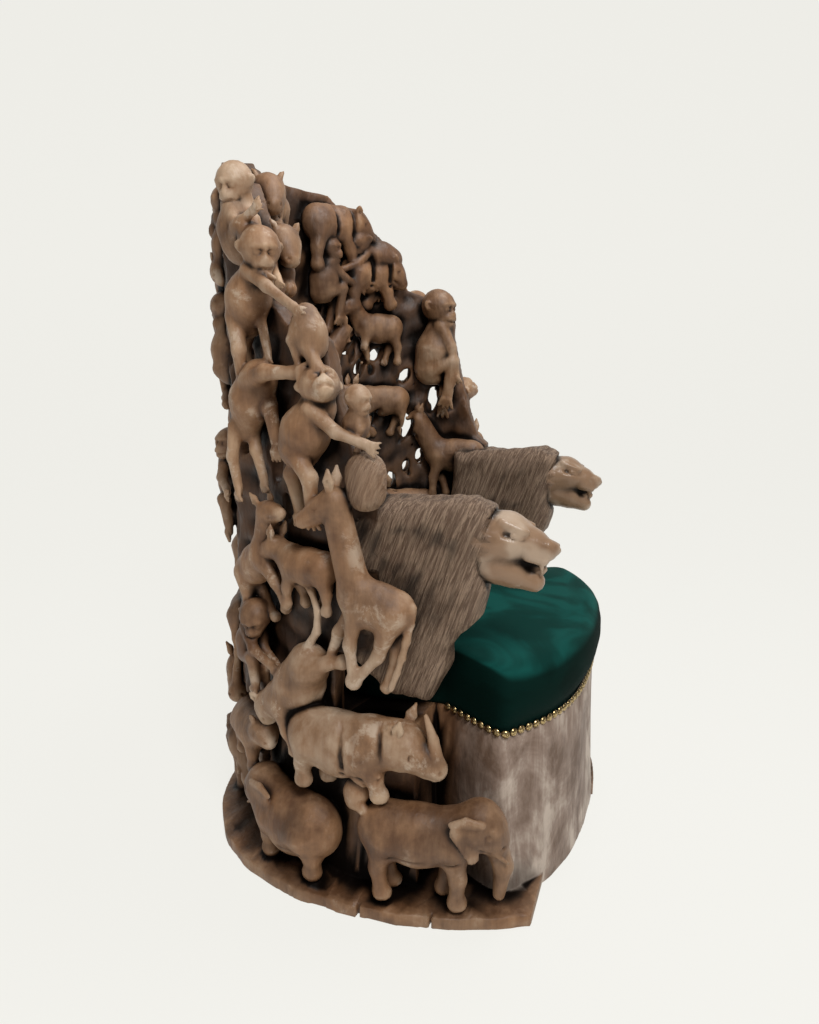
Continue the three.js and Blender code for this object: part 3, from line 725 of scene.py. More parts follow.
@dataclass(frozen=True)
class Ape(Figure):
    """A monkey: torso from hip to shoulder; each limb is (angle, size, angle, size)."""

    torso: float = 0.090
    girth: float = 0.036
    lean: float = 80.0
    head: Skull | None = Skull(0.030)
    arms: tuple[Bend, ...] = ((-40, 0.052, -20, 0.048), (-60, 0.046, -30, 0.044))
    legs: tuple[Bend, ...] = ((10, 0.046, -95, 0.052), (-30, 0.044, -100, 0.046))
    thin: float = 1.0

    def strokes(self) -> list[Stroke]:
        """Torso, limbs with fingers and toes, and the head."""
        g = self.girth
        shoulder = stepped((0, 0), self.lean, self.torso)
        belly = stepped((0, 0), self.lean, 0.42 * self.torso)
        made = self.limb([(0, 0, 0), (*belly, 0.10 * g), (*shoulder, 0)], [0.92 * g, g, 0.74 * g], 0.014, 0.9)
        for root, bends, near, thick in ((shoulder, self.arms, 0.55, 0.40), ((0, 0), self.legs, 0.50, 0.52)):
            for number, bend in enumerate(bends):
                made += self.member(root, bend, (-0.25 if number else near) * g, thick * g * self.thin)
        if self.head:
            r = self.head.size
            neck = stepped(shoulder, self.head.angle, 1.10 * r)
            made += self.limb([(*shoulder, 0), (*neck, 0.005)], [0.6 * g, 0.62 * r])
            head = Head(self, (*neck, 0.008), (self.head.look, self.head.turn), r, r)
            made += head.whole(APE_MIDDLE, APE_HALF) + head.parts(APE_NOSE)
        return made

    def member(self, root: Pair, bend: Bend, off: float, thick: float) -> list[Stroke]:
        """An arm or leg with a joint, a wrist and a hand of four fingers."""
        first, upper, second, lower = bend
        joint = stepped(root, first, upper)
        end = stepped(joint, second, lower)
        palm = stepped(end, second, 0.9 * thick)
        bones = [(*root, off), (*joint, off + 0.006), (*end, off)]
        made = self.limb(bones, [thick, 0.72 * thick, 0.56 * thick], 0.007)
        made += self.limb([(*end, off), (*palm, off)], [0.62 * thick, 0.66 * thick], 0.004, 0.7)
        for k in (-1.5, -0.5, 0.5, 1.5):
            start = stepped(palm, second + 90, k * 0.30 * thick)
            tip = stepped(start, second + k * 17, thick)
            finger = [(*start, off + 0.3 * thick), (*tip, off)]
            made += self.limb(finger, [0.25 * thick, 0.19 * thick], 0.0015)
        return made


@dataclass(frozen=True)
class HairBall(Figure):
    """A round lump of mane."""

    size: float = 0.042

    def strokes(self) -> list[Stroke]:
        """One soft lump."""
        s = self.size
        return self.limb([(0, -0.4 * s, 0), (0, 0.4 * s, 0)], [0.9 * s, 0.9 * s], 0.01)


# Kinds that several figures share; a figure's own row changes what it needs.
elephant = partial(
    Beast, length=0.122, girth=0.057, depth=0.76, leg=0.098, hoof=0.016, neck=Neck(0.030, 22, 0.046),
    head=Muzzle(0.036, -38, 0.044), trunk=0.122, hide=Hide.ELEPHANT, stride=(-4, 6))
rhino = partial(
    Beast, length=0.106, girth=0.060, depth=0.72, leg=0.066, hoof=0.015, neck=Neck(0.050, -2, 0.046),
    head=Muzzle(0.070, -24, 0.038), horn=Spike(0.084, 128, 0.013), ear=Spike(0.040, 96, 0.011),
    hide=Hide.RHINO, stride=(-14, 26))
hornless = partial(rhino, horn=None, ear=Spike(0.018, 130, 0.009))
antelope = partial(
    Beast, length=0.066, girth=0.038, leg=0.074, hoof=0.008, neck=Neck(0.062, 52, 0.021),
    head=Muzzle(0.048, -24, 0.020), ear=Spike(0.034, 130, 0.009))
cat = partial(
    Beast, length=0.084, girth=0.040, leg=0.064, hoof=0.012, neck=Neck(0.036, 14, 0.030),
    head=Muzzle(0.030, -18, 0.029), ear=Spike(0.016, 110, 0.009), tail=Tail(0.120, 150, -60))

FLANK: tuple[Figure, ...] = (
    elephant(108, 0.162, lift=0.004, tone=0.1, neck=Neck(0.044, 20, 0.046)),
    elephant(71, 0.122, facing=-1, tone=0.1, length=0.090, girth=0.066, leg=0.060, stride=(-14, 8),
             trunk=0.05),
    Ape(91, 0.205, torso=0.040, girth=0.022, head=Skull(0.021), arms=(), legs=((-20, 0.022, -80, 0.020),)),
    rhino(86.5, 0.314, tone=0.12),
    cat(73, 0.405, facing=-1, pitch=-52, tone=0.3, length=0.110, girth=0.043, leg=0.080, stride=(-64, 30),
        tail=Tail(0.190, 176, -54)),
    cat(47, 0.250, length=0.060, girth=0.044, leg=0.060, tail=None),
    Ape(52, 0.420, torso=0.062, lean=76, girth=0.034, head=Skull(0.031, 50, -35, 50)),
    antelope(98, 0.586, facing=-1, pitch=16, lift=0.020, tone=0.3, length=0.060, girth=0.040, leg=0.132,
             neck=Neck(0.152, 62, 0.024), head=Muzzle(0.066, -46, 0.025), stride=(12, -14),
             tail=Tail(0.150, 262, 6), ear=Spike(0.040, 120, 0.010)),
    antelope(78.5, 0.632, facing=-1, length=0.062, girth=0.033, leg=0.064, neck=Neck(0.040, 20, 0.021)),
    antelope(57, 0.610, pitch=34, length=0.080, girth=0.036, leg=0.096, neck=Neck(0.070, 40, 0.022)),
    HairBall(95, 0.788, size=0.038, lift=0.004),
    Ape(77, 0.838, torso=0.078, lean=58, girth=0.042, head=Skull(0.034, 76, 34, 46), thin=0.86, tone=0.2,
        arms=((-36, 0.058, -22, 0.046), (-165, 0.040, -100, 0.040)),
        legs=((-50, 0.060, -92, 0.052), (-118, 0.056, -80, 0.056))),
    Ape(92.5, 0.870, torso=0.030, girth=0.020, head=Skull(0.021, 84, -16, 20), legs=(),
        arms=((-70, 0.024, -100, 0.030),)),
    Ape(62.5, 0.946, torso=0.100, lean=236, girth=0.040, head=None, thin=0.9, tone=0.35,
        arms=((262, 0.056, 276, 0.056), (300, 0.050, 286, 0.050)),
        legs=((16, 0.056, 0, 0.056), (-62, 0.050, -82, 0.060))),
    Ape(81.5, 1.006, torso=0.046, lean=104, girth=0.029, head=None, thin=0.9, tone=0.1,
        arms=((250, 0.040, 282, 0.040),), legs=((-58, 0.042, -116, 0.046), (-122, 0.040, -78, 0.048))),
    Ape(57, 1.054, torso=0.090, lean=54, girth=0.041, head=Skull(0.034, 62, -20, 22), thin=0.80, tone=0.05,
        arms=((-28, 0.062, -34, 0.058), (-100, 0.066, -80, 0.066)),
        legs=((-70, 0.060, -96, 0.050), (-118, 0.060, -84, 0.050))),
    Ape(53.5, 1.176, torso=0.066, lean=92, girth=0.038, head=Skull(0.032, 84, -24, 58), lift=-0.008,
        arms=((-44, 0.062, 24, 0.050), (-30, 0.060, -60, 0.110)),
        legs=((24, 0.062, -56, 0.090), (-60, 0.050, -100, 0.050)), thin=0.84, tone=0.05),
    Ape(65, 1.158, torso=0.040, lean=128, girth=0.027, head=None, arms=((-40, 0.040, -84, 0.040),), legs=()),
)

# The far flank repeats the near one but for the small figures that rise over its lower rim; its upper apes
# hang their arms and sit lower.
NEAR_ONLY = (95, 92.5, 81.5, 65)
UPPER_FROM = 0.8
UPPER_DROP = 0.050
HANGING: tuple[Bend, ...] = ((-70, 0.050, -92, 0.050), (-100, 0.050, -80, 0.050))
FAR_FLANK: tuple[Figure, ...] = tuple(
    replace(figure.mirrored(), z=figure.z - UPPER_DROP, arms=HANGING) if figure.z > UPPER_FROM
    else figure.mirrored()
    for figure in FLANK if figure.t not in NEAR_ONLY
)

# The inner face, as it is on the sitter's left.
BOSOM: tuple[Figure, ...] = tuple(replace(figure, face=Face.INSIDE) for figure in (
    hornless(24, 1.280, length=0.062, girth=0.046, leg=0.080, neck=Neck(0.030, -12, 0.036),
          head=Muzzle(0.046, -34, 0.032)),
    Ape(54, 1.212, facing=-1, torso=0.064, lean=16, girth=0.032, head=Skull(0.030, 36, -30, 30)),
    hornless(43, 1.180, length=0.056, girth=0.044, leg=0.066, neck=Neck(0.022, -20, 0.034),
          head=Muzzle(0.038, -44, 0.030)),
    antelope(48, 1.050, facing=-1, girth=0.034, neck=Neck(0.056, 56, 0.020)),
    Ape(72.5, 0.950, torso=0.108, lean=76, girth=0.048, head=Skull(0.041, 100, -12, 30), thin=0.9,
        arms=((-60, 0.060, -80, 0.060), (-90, 0.060, -70, 0.050)),
        legs=((16, 0.062, -100, 0.074), (-40, 0.050, -100, 0.050))),
    antelope(50, 0.872, facing=-1, length=0.074, girth=0.036, neck=Neck(0.046, 14, 0.021)),
    antelope(84, 0.730, facing=-1, length=0.084, girth=0.042, leg=0.090, neck=Neck(0.090, 58, 0.028)),
    Ape(20, 1.130, torso=0.066, girth=0.034, head=Skull(0.029, 84, -10, 60)),
    antelope(16, 0.980),
    cat(18, 0.800, facing=-1),
    antelope(30, 0.620, length=0.080),
    cat(62, 0.600, facing=-1, tail=None),
))
# The sitter's right half carries only the inner figures near the back's middle or low down.
NEAR_BACK_TO = 50
NEAR_LOW_TO = 0.8

SPINE: tuple[Figure, ...] = (
    elephant(18, 0.138, trunk=0.10),
    elephant(-26, 0.138, trunk=0.10),
    rhino(8, 0.290),
    cat(-30, 0.300, facing=-1, tail=None),
    antelope(24, 0.440, facing=-1),
    antelope(-16, 0.440),
    cat(10, 0.570, facing=-1, tail=None),
    antelope(-28, 0.590, facing=-1),
    Ape(26, 0.690),
    Ape(-8, 0.690, facing=-1),
    antelope(10, 0.850),
    rhino(-30, 0.850, facing=-1, girth=0.048, horn=None),
    Ape(28, 0.960, facing=-1),
    Ape(-6, 0.980),
    cat(14, 1.130, tail=None),
    antelope(-22, 1.110),
    Ape(28, 1.160, facing=-1, lift=-0.012),
    hornless(0, 1.250, length=0.064, girth=0.046),
    Ape(-30, 1.180),
)


@dataclass(frozen=True)
class Opening:
    """An oval opening on the sitter's left: degrees round, height, half width and half height."""

    t: float
    z: float
    wide: float
    tall: float

    def distance(self, u: np.ndarray, z: np.ndarray, size: float | np.ndarray = 1.0) -> np.ndarray:
        """About how far a place lies outside the oval at a share of its size."""
        share = np.sqrt((u / self.wide) ** 2 + ((z - self.z) / self.tall) ** 2 + 1e-9)
        return (share - size) * min(self.wide, self.tall)


OPENINGS = tuple(Opening(*row) for row in (
    (36, 1.008, 0.023, 0.040), (48, 0.981, 0.015, 0.020), (41, 0.952, 0.014, 0.030),
    (45.5, 0.950, 0.010, 0.014), (61, 0.929, 0.020, 0.022), (73, 0.870, 0.016, 0.036),
    (62, 0.800, 0.021, 0.040), (45, 0.826, 0.017, 0.024), (55, 0.662, 0.013, 0.026),
    (62, 0.690, 0.012, 0.022), (67, 0.722, 0.012, 0.024), (20, 1.090, 0.014, 0.018),
    (22, 0.860, 0.012, 0.022), (24, 0.700, 0.010, 0.018),
))


# ---- the log --------------------------------------------------------------------------------------
def wave(x: np.ndarray, y: np.ndarray, z: np.ndarray, pitch: float, seed: int) -> np.ndarray:
    """A smooth random field between about -1 and 1 with bumps of the given pitch."""
    dice = np.random.default_rng(seed)
    total = 0.0
    for _ in range(5):
        way = dice.normal(size=3)
        way *= 2 * math.pi / pitch * dice.uniform(0.7, 1.3) / np.linalg.norm(way)
        total = total + np.sin(way[0] * x + way[1] * y + way[2] * z + dice.uniform(0, 2 * math.pi))
    return total / 3


class Zone(Enum):
    """Which part of the log a stretch of surface belongs to."""

    WALL = 0
    DRUM = 1
    PLINTH = 2
    MANE = 3
    LION_FACE = 4
    FIRST_FIGURE = 5


@dataclass(frozen=True)
class LionSize:
    """A lion arm: its side view (y, z) and thickness.

    Attributes:
        x: Its middle's distance from the throne's middle.
        half: Half its thickness.
        bevel: How round its edges are.
        room_low: The lowest y and z of the space that it is carved in.
        room: The size of that space.
        comb: The direction (y, z) across its locks.
        lock: The width of a lock.
        mane: The mane's outline.
    """

    x: float = 0.338
    half: float = 0.055
    bevel: float = 0.034
    room_low: Pair = (-0.36, 0.37)
    room: Point = (0.16, 0.40, 0.45)
    comb: Pair = (0.91, 0.42)
    lock: float = 0.030
    mane: tuple[Pair, ...] = (
        (0.030, 0.745), (-0.060, 0.750), (-0.200, 0.757), (-0.232, 0.744), (-0.232, 0.700), (-0.218, 0.660),
        (-0.222, 0.600), (-0.212, 0.548), (-0.178, 0.520), (-0.160, 0.490), (-0.153, 0.450), (-0.140, 0.420),
        (-0.128, 0.392), (-0.050, 0.396), (0.010, 0.450), (0.036, 0.560),
    )


LION = LionSize()

# The lion's face in metres, as (y, z, outwards). Down the middle: skull, muzzle, nose pad, jaws, then the
# open mouth as bars right across it that shrink towards its corner, and the tongue.
MOUTH = ((-0.340, 0.644, 0.0085), (-0.322, 0.647, 0.0072), (-0.306, 0.650, 0.0052), (-0.292, 0.653, 0.0032))
MOUTH_HALF = 0.045
LION_MIDDLE = (
    Feature((-0.216, 0.690, 0), (-0.252, 0.694, 0), 0.050, 0.043, 0.008),
    Feature((-0.252, 0.694, 0), (-0.292, 0.684, 0), 0.041, 0.029, 0.010),
    Feature((-0.292, 0.684, 0), (-0.318, 0.677, 0), 0.027, 0.019, 0.008),
    Feature((-0.320, 0.685, -0.006), (-0.330, 0.679, 0.006), 0.013, 0.012, 0.002),
    Feature((-0.222, 0.652, 0), (-0.262, 0.640, 0), 0.040, 0.031, 0.010),
    Feature((-0.262, 0.636, 0), (-0.300, 0.622, 0), 0.026, 0.018, 0.006),
    *(Feature((y, z, -MOUTH_HALF), (y, z, MOUTH_HALF), size, size, 0.002, True) for y, z, size in MOUTH),
    Feature((-0.288, 0.650, 0), (-0.312, 0.644, 0), 0.0130, 0.0090, 0.001),
)
# One half of it: brow, eye socket, eye, lip, nostril, fang and ear.
LION_HALF = (
    Feature((-0.250, 0.724, 0.030), (-0.290, 0.710, 0.026), 0.009, 0.0055, 0.002),
    Feature((-0.258, 0.709, 0.042), (-0.292, 0.699, 0.033), 0.0085, 0.0060, 0.001, True),
    Feature((-0.270, 0.705, 0.0325), (-0.281, 0.702, 0.0290), 0.0060, 0.0050, 0.0004),
    Feature((-0.296, 0.672, 0.018), (-0.316, 0.664, 0.013), 0.013, 0.010, 0.004),
    Feature((-0.340, 0.683, 0.007), (-0.346, 0.680, 0.013), 0.0042, 0.0042, 0.001, True),
    Feature((-0.314, 0.654, 0.015), (-0.315, 0.638, 0.014), 0.0040, 0.0022, 0.0006),
    Feature((-0.205, 0.738, 0.058), (-0.209, 0.716, 0.060), 0.0050, 0.0034, 0.002, True),
)


def rounded_outline(x: np.ndarray, y: np.ndarray, half: float, depths: Pair, square: Pair) -> np.ndarray:
    """About how far (x, y) lies outside an outline.

    Args:
        x: Places along x.
        y: Places along y.
        half: The outline's half width.
        depths: How far it goes to the front and to the back.
        square: How square its front and its back are; 2 is round.

    Returns:
        The distances, negative inside.
    """
    power = np.where(y < 0, *square)
    size = (np.abs(x / half) ** power + np.abs(y / np.where(y < 0, *depths)) ** power) ** (1 / power)
    return (size - 1) * np.minimum(half, np.where(y < 0, *depths))


def polygon_distance(y: np.ndarray, z: np.ndarray, outline: tuple[Pair, ...]) -> np.ndarray:
    """Signed distance from a closed outline, negative inside."""
    best = np.full(np.broadcast(y, z).shape, 1e9)
    inside = np.zeros(best.shape, bool)
    for (y0, z0), (y1, z1) in zip(outline, outline[1:] + outline[:1]):
        dy, dz = y1 - y0, z1 - z0
        share = np.clip(((y - y0) * dy + (z - z0) * dz) / (dy * dy + dz * dz), 0, 1)
        best = np.minimum(best, (y - y0 - share * dy) ** 2 + (z - z0 - share * dz) ** 2)
        inside ^= ((z0 > z) != (z1 > z)) & (y < y0 + (z - z0) / ((z1 - z0) or 1e-9) * dy)
    return np.where(inside, -np.sqrt(best), np.sqrt(best))


class Log:
    """The whole carved log as one block: plinth, drum, wall, animals and lions."""

    CELL = 0.003
    LOW = (-0.500, -0.410, -0.006)
    HIGH = (0.500, 0.470, 1.400)
    OPENING_REACH = 0.085
    OPENING_DEPTH = 0.070

    def __init__(self) -> None:
        self.block = Block(self.LOW, self.HIGH, self.CELL)
        self.figures: list[Figure] = []

    def base(self) -> None:
        """The plinth with its split rim, and the drum."""
        window = self.block.window(np.array(self.LOW), np.array([*self.HIGH[:2], DRUM.top + 0.02]))
        x, y, z = self.block.places(window)
        lobe = tuple((float(a), float(b)) for a, b in DRUM.seat_edge()[::2])
        drum = polygon_distance(x, y, (*lobe, DRUM.closing))
        core = rounded_outline(x, y, DRUM.side, (DRUM.side, DRUM.back), (2.0, 2.0))
        drum = np.minimum(drum, np.maximum(core, DRUM.side_from - y))
        depths = (DRUM.plinth_front, DRUM.plinth_back)
        plan = rounded_outline(x, y, DRUM.plinth_half_width, depths, DRUM.plinth_squareness)
        cut = np.maximum(DRUM.plinth_cut - y, x - DRUM.plinth_half_width)
        ledge = np.maximum(drum - DRUM.lean - DRUM.ledge, DRUM.tip - x)
        plan = np.maximum(plan + 0.0025 * wave(x, y, 0 * z, 0.09, 3), np.minimum(cut, ledge))
        top = DRUM.plinth_thickness + 0.0014 * wave(x, y, 0 * z, 0.060, 4)
        plinth = np.maximum(plan, np.maximum(z - top, -z))
        for sx, sy in DRUM.splits:
            gap = np.sqrt((x - sx) ** 2 * DRUM.split_stretch + (y - sy) ** 2)
            plinth = np.maximum(plinth, DRUM.split_half - gap)
        drum = drum - DRUM.lean * (1 - z / DRUM.top) + 0.0018 * wave(x, y, 0.3 * z, 0.10, 5)
        self.put(window, plinth, Zone.PLINTH)
        self.put(window, np.maximum(drum, np.maximum(z - DRUM.top, -z)), Zone.DRUM)

    def wall(self) -> None:
        """The curved wall, rough and pierced between the animals."""
        low = np.array([self.LOW[0], WALL.front, WALL.foot])
        window = self.block.window(low, np.array(self.HIGH))
        x, y, z = self.block.places(window)
        turn = np.arctan2(np.abs(x) / WALL.half_width, y / WALL.half_depth)
        back = (np.hypot(x / WALL.half_width, y / WALL.half_depth) - 1) * WALL.radius
        sine = np.clip(-y / WALL.half_depth, 0, 1)
        side = np.abs(x) - WALL.half_width * (1 - WALL.flatten * (1 - np.sqrt(1 - sine ** 2)))
        n = np.where(y > 0, back, side)
        t = np.degrees(np.where(y > 0, turn, np.pi / 2 + np.arcsin(sine)))
        rim = np.interp(t, *zip(*WALL.rim))
        rim = rim - WALL.dip * np.clip(1 - np.abs(t - WALL.dip_at) / WALL.dip_reach, 0, 1) * (x < 0)
        rough = WALL.rough * wave(x, y, z, WALL.rough_pitch, 7)
        outer = WALL.outer + WALL.back_extra * np.clip((WALL.back_to - t) / WALL.back_fade, 0, 1)
        body = np.maximum(np.maximum(n - outer, WALL.inner - n) + rough, z - rim)
        body = np.maximum(body, (t - WALL.end) * WALL.degree)
        body = np.maximum(body, np.minimum((t - WALL.arch_from) * WALL.degree, WALL.arch_top - z))
        for opening in OPENINGS:
            u = (np.where(x < 0, t, -200) - opening.t) * math.radians(1) * WALL.inner_radius
            body = -smooth_min(-body, opening.distance(u, z), 0.006)
        self.put(window, body, Zone.WALL)

    def pierce(self) -> None:
        """The ragged openings on the sitter's left, cut through wood and figures alike."""
        block = self.block
        for opening in OPENINGS:
            middle = WALL.point(-opening.t, opening.z, (WALL.outer + WALL.inner) / 2)
            out = WALL.point(-opening.t, opening.z) - middle
            out /= np.linalg.norm(out)
            window = block.window(middle - self.OPENING_REACH, middle + self.OPENING_REACH)
            x, y, z = block.places(window)
            through = out[0] * (x - middle[0]) + out[1] * (y - middle[1])
            u = out[1] * (x - middle[0]) - out[0] * (y - middle[1])
            ragged = 1 + 0.45 * wave(x, y, z, 0.030, 31)
            hole = opening.distance(u, z, 0.95 * ragged)
            hole = np.maximum(hole, np.abs(through) - self.OPENING_DEPTH)
            block.value[window] = -smooth_min(-block.value[window], hole.astype(np.float32), 0.005)

    def put(self, window: tuple[slice, ...], distance: np.ndarray, zone: Zone) -> None:
        """Adds a large shape to the block."""
        there = self.block.value[window]
        self.block.owner[window][distance < there] = zone.value
        self.block.value[window] = np.minimum(there, distance.astype(np.float32))

    def animals(self) -> None:
        """Every figure, each with its own owner number; the openings come before the near flank."""
        near = (figure for figure in BOSOM if figure.t < NEAR_BACK_TO or figure.z < NEAR_LOW_TO)
        self.figures = [*SPINE, *near, *(figure.mirrored() for figure in BOSOM), *FAR_FLANK, *FLANK]
        for number, figure in enumerate(self.figures):
            if number == len(self.figures) - len(FLANK):
                self.pierce()
            self.block.carve(figure.strokes(), Zone.FIRST_FIGURE.value + number)

    def lion(self, side: int) -> None:
        """One lion arm: the slab of mane with its locks, then the face.

        Args:
            side: -1 for the sitter's right, 1 for the left.
        """
        low = np.array([side * LION.x - LION.room[0] / 2, *LION.room_low])
        window = self.block.window(low, low + np.array(LION.room))
        x, y, z = self.block.places(window)
        plan = polygon_distance(y, z, LION.mane) + LION.bevel
        deep = np.abs(x - side * LION.x) - (LION.half - LION.bevel)
        mane = np.minimum(np.maximum(plan, deep), 0) + np.hypot(np.maximum(plan, 0), np.maximum(deep, 0))
        across = LION.comb[0] * y + LION.comb[1] * z
        locks = np.sin(across * 2 * math.pi / LION.lock + 1.2 * wave(x, y, z, 0.16, 11)) * 0.0008
        mane = mane - LION.bevel + locks + 0.003 * wave(x, y, z, 0.07, 12)
        self.put(window, mane, Zone.MANE)
        self.block.carve(self.lion_face(side), Zone.LION_FACE.value)

    @staticmethod
    def lion_face(side: int) -> list[Stroke]:
        """A long smooth face with brow, eye, nose pad, open mouth and chin."""
        def place(spot: Point, out: int = 1) -> np.ndarray:
            return np.array([side * LION.x + out * spot[2], spot[0], spot[1]])

        made = [feature.stroke(place) for feature in LION_MIDDLE]
        for out in (-1, 1):
            made += [feature.stroke(partial(place, out=out)) for feature in LION_HALF]
        return made


def solid_share(block: Block, points: np.ndarray, reach: float) -> np.ndarray:
    """How much of the space round each point is wood: about half on a plain face, more in hollows."""
    step = 3
    coarse = (block.value[::step, ::step, ::step] < 0).astype(np.float32)
    half = max(1, int(round(reach / (step * block.cell))))
    padded = np.pad(coarse, half + 1, mode="edge")
    for axis in range(3):
        summed = np.cumsum(padded, axis)
        ahead = [slice(None)] * 3
        behind = [slice(None)] * 3
        ahead[axis] = slice(2 * half + 1, None)
        behind[axis] = slice(None, -(2 * half + 1))
        padded = (summed[tuple(ahead)] - summed[tuple(behind)]) / (2 * half + 1)
    spot = (points - block.low) / (block.cell * step)
    spot = np.clip(spot, 0, np.array(padded.shape) - 1.001)
    low = spot.astype(int)
    part = spot - low
    total = np.zeros(len(points))
    for corner in np.ndindex(2, 2, 2):
        weight = np.prod(np.where(np.array(corner), part, 1 - part), 1)
        total += weight * padded[tuple((np.minimum(low + corner, np.array(padded.shape) - 1)).T)]
    return total


@dataclass(frozen=True)
class Thinning:
    """How the block's surface is thinned to a budget of triangles.

    Attributes:
        budget: The most triangles that the mesh may have.
        fine_weight: How readily figures and lions give points up, where all else has 1.
        factor: How much these weights count.
        fine_to: Where, along x, the fine part ends.
    """

    budget: int = 196000
    fine_weight: float = 0.5
    factor: float = 0.00005
    fine_to: float = 0.30

    def apply(self, made: bpy.types.Object, fine: np.ndarray) -> None:
        """Thins a mesh object, most where fine is false."""
        yielding = made.vertex_groups.new(name="yielding")
        yielding.add(np.nonzero(~fine)[0].tolist(), 1.0, "REPLACE")
        yielding.add(np.nonzero(fine)[0].tolist(), self.fine_weight, "REPLACE")
        thin = made.modifiers.new("thin", "DECIMATE")
        thin.ratio = min(1.0, self.budget / (2 * len(made.data.polygons)))
        thin.vertex_group = "yielding"
        thin.vertex_group_factor = self.factor
        light = bpy.data.meshes.new_from_object(made.evaluated_get(bpy.context.evaluated_depsgraph_get()))
        made.modifiers.clear()
        made.vertex_groups.clear()
        made.data = light
        light.name = made.name


# The wall's low tone is painted shade: it darkens the wall seen behind and between the figures.
TONES = {Zone.WALL: -0.9, Zone.PLINTH: -0.3, Zone.DRUM: -0.4}
TONE_SPREAD = 0.16
# Painted shade: figures on the inner face are made darker.
INSIDE_TONE = -0.2
BALL_SHAG = 0.6
HOLLOW_REACH = 0.020
EDGE_REACH = 0.007


def point_values(carving: Log, where: np.ndarray) -> dict[str, np.ndarray]:
    """What the wood's finish needs to know at each point: hollows, edges, tones and kinds of surface."""
    owner = carving.block.owners(where).astype(int)
    tones = np.zeros(256)
    for zone, tone in TONES.items():
        tones[zone.value] = tone
    shaggy = (np.arange(256) == Zone.MANE.value).astype(float)
    for number, figure in enumerate(carving.figures):
        place = Zone.FIRST_FIGURE.value + number
        # painted shade on the inner face's figures
        inside = INSIDE_TONE * (figure.face is Face.INSIDE)
        tones[place] = figure.tone + TONE_SPREAD * math.sin(7.3 * number) + inside
        shaggy[place] = BALL_SHAG * isinstance(figure, HairBall)
    front = np.clip((DRUM.pale_from - where[:, 1]) / DRUM.pale_fade, 0, 1)
    return {
        # hollow and edge are wood shares that the finish turns into painted shade in hollows and creases, and
        # into wear and painted highlight on high spots.
        "hollow": solid_share(carving.block, where, HOLLOW_REACH),
        "edge": solid_share(carving.block, where, EDGE_REACH),
        "tone": tones[owner],
        "mane": shaggy[owner],
        "polish": (owner == Zone.LION_FACE.value).astype(float),
        "drum": (owner == Zone.DRUM.value) * front,
    }


def carved_mesh(name: str, carving: Log, thinning: Thinning) -> bpy.types.Object:
    """Turns the block into a thinned mesh object with its point data.

    Args:
        name: The object's name.
        carving: The carved log.
        thinning: How its surface is thinned.

    Returns:
        The mesh object.
    """
    points, faces = carving.block.surface()
    log.info("surface: %d points, %d faces", len(points), len(faces))
    mesh = bpy.data.meshes.new(name)
    mesh.vertices.add(len(points))
    mesh.vertices.foreach_set("co", points.astype(np.float32).ravel())
    mesh.loops.add(faces.size)
    mesh.loops.foreach_set("vertex_index", faces.astype(np.int32).ravel())
    mesh.polygons.add(len(faces))
    mesh.polygons.foreach_set("loop_start", np.arange(0, faces.size, 4, dtype=np.int32))
    mesh.update(calc_edges=True)
    made = linked(name, mesh)
    fine = (carving.block.owners(points) >= Zone.MANE.value) & (points[:, 0] < thinning.fine_to)
    thinning.apply(made, fine)
    mesh = made.data
    where = np.empty(3 * len(mesh.vertices), np.float32)
    mesh.vertices.foreach_get("co", where)
    where = where.reshape(-1, 3)
    where[:, 2] = np.maximum(where[:, 2], 0.0)
    mesh.vertices.foreach_set("co", where.ravel())
    for label, values in point_values(carving, where).items():
        mesh.attributes.new(label, "FLOAT", "POINT").data.foreach_set("value", values.astype(np.float32))
    mesh.polygons.foreach_set("use_smooth", np.ones(len(mesh.polygons), bool))
    log.info("%s: %d triangles", name, len(mesh.polygons))
    return made


# ---- finishes -------------------------------------------------------------------------------------
@dataclass(frozen=True)
class Signal:
    """A node's output; sums, differences and products of signals and numbers make further nodes."""

    shader: "Shader"
    socket: bpy.types.NodeSocket

    def __add__(self, other) -> "Signal":
        return self.shader.math("ADD", self, other)

    def __sub__(self, other) -> "Signal":
        return self.shader.math("SUBTRACT", self, other)

    def __rsub__(self, other) -> "Signal":
        return self.shader.math("SUBTRACT", other, self)

    def __mul__(self, other) -> "Signal":
        return self.shader.math("MULTIPLY", self, other)


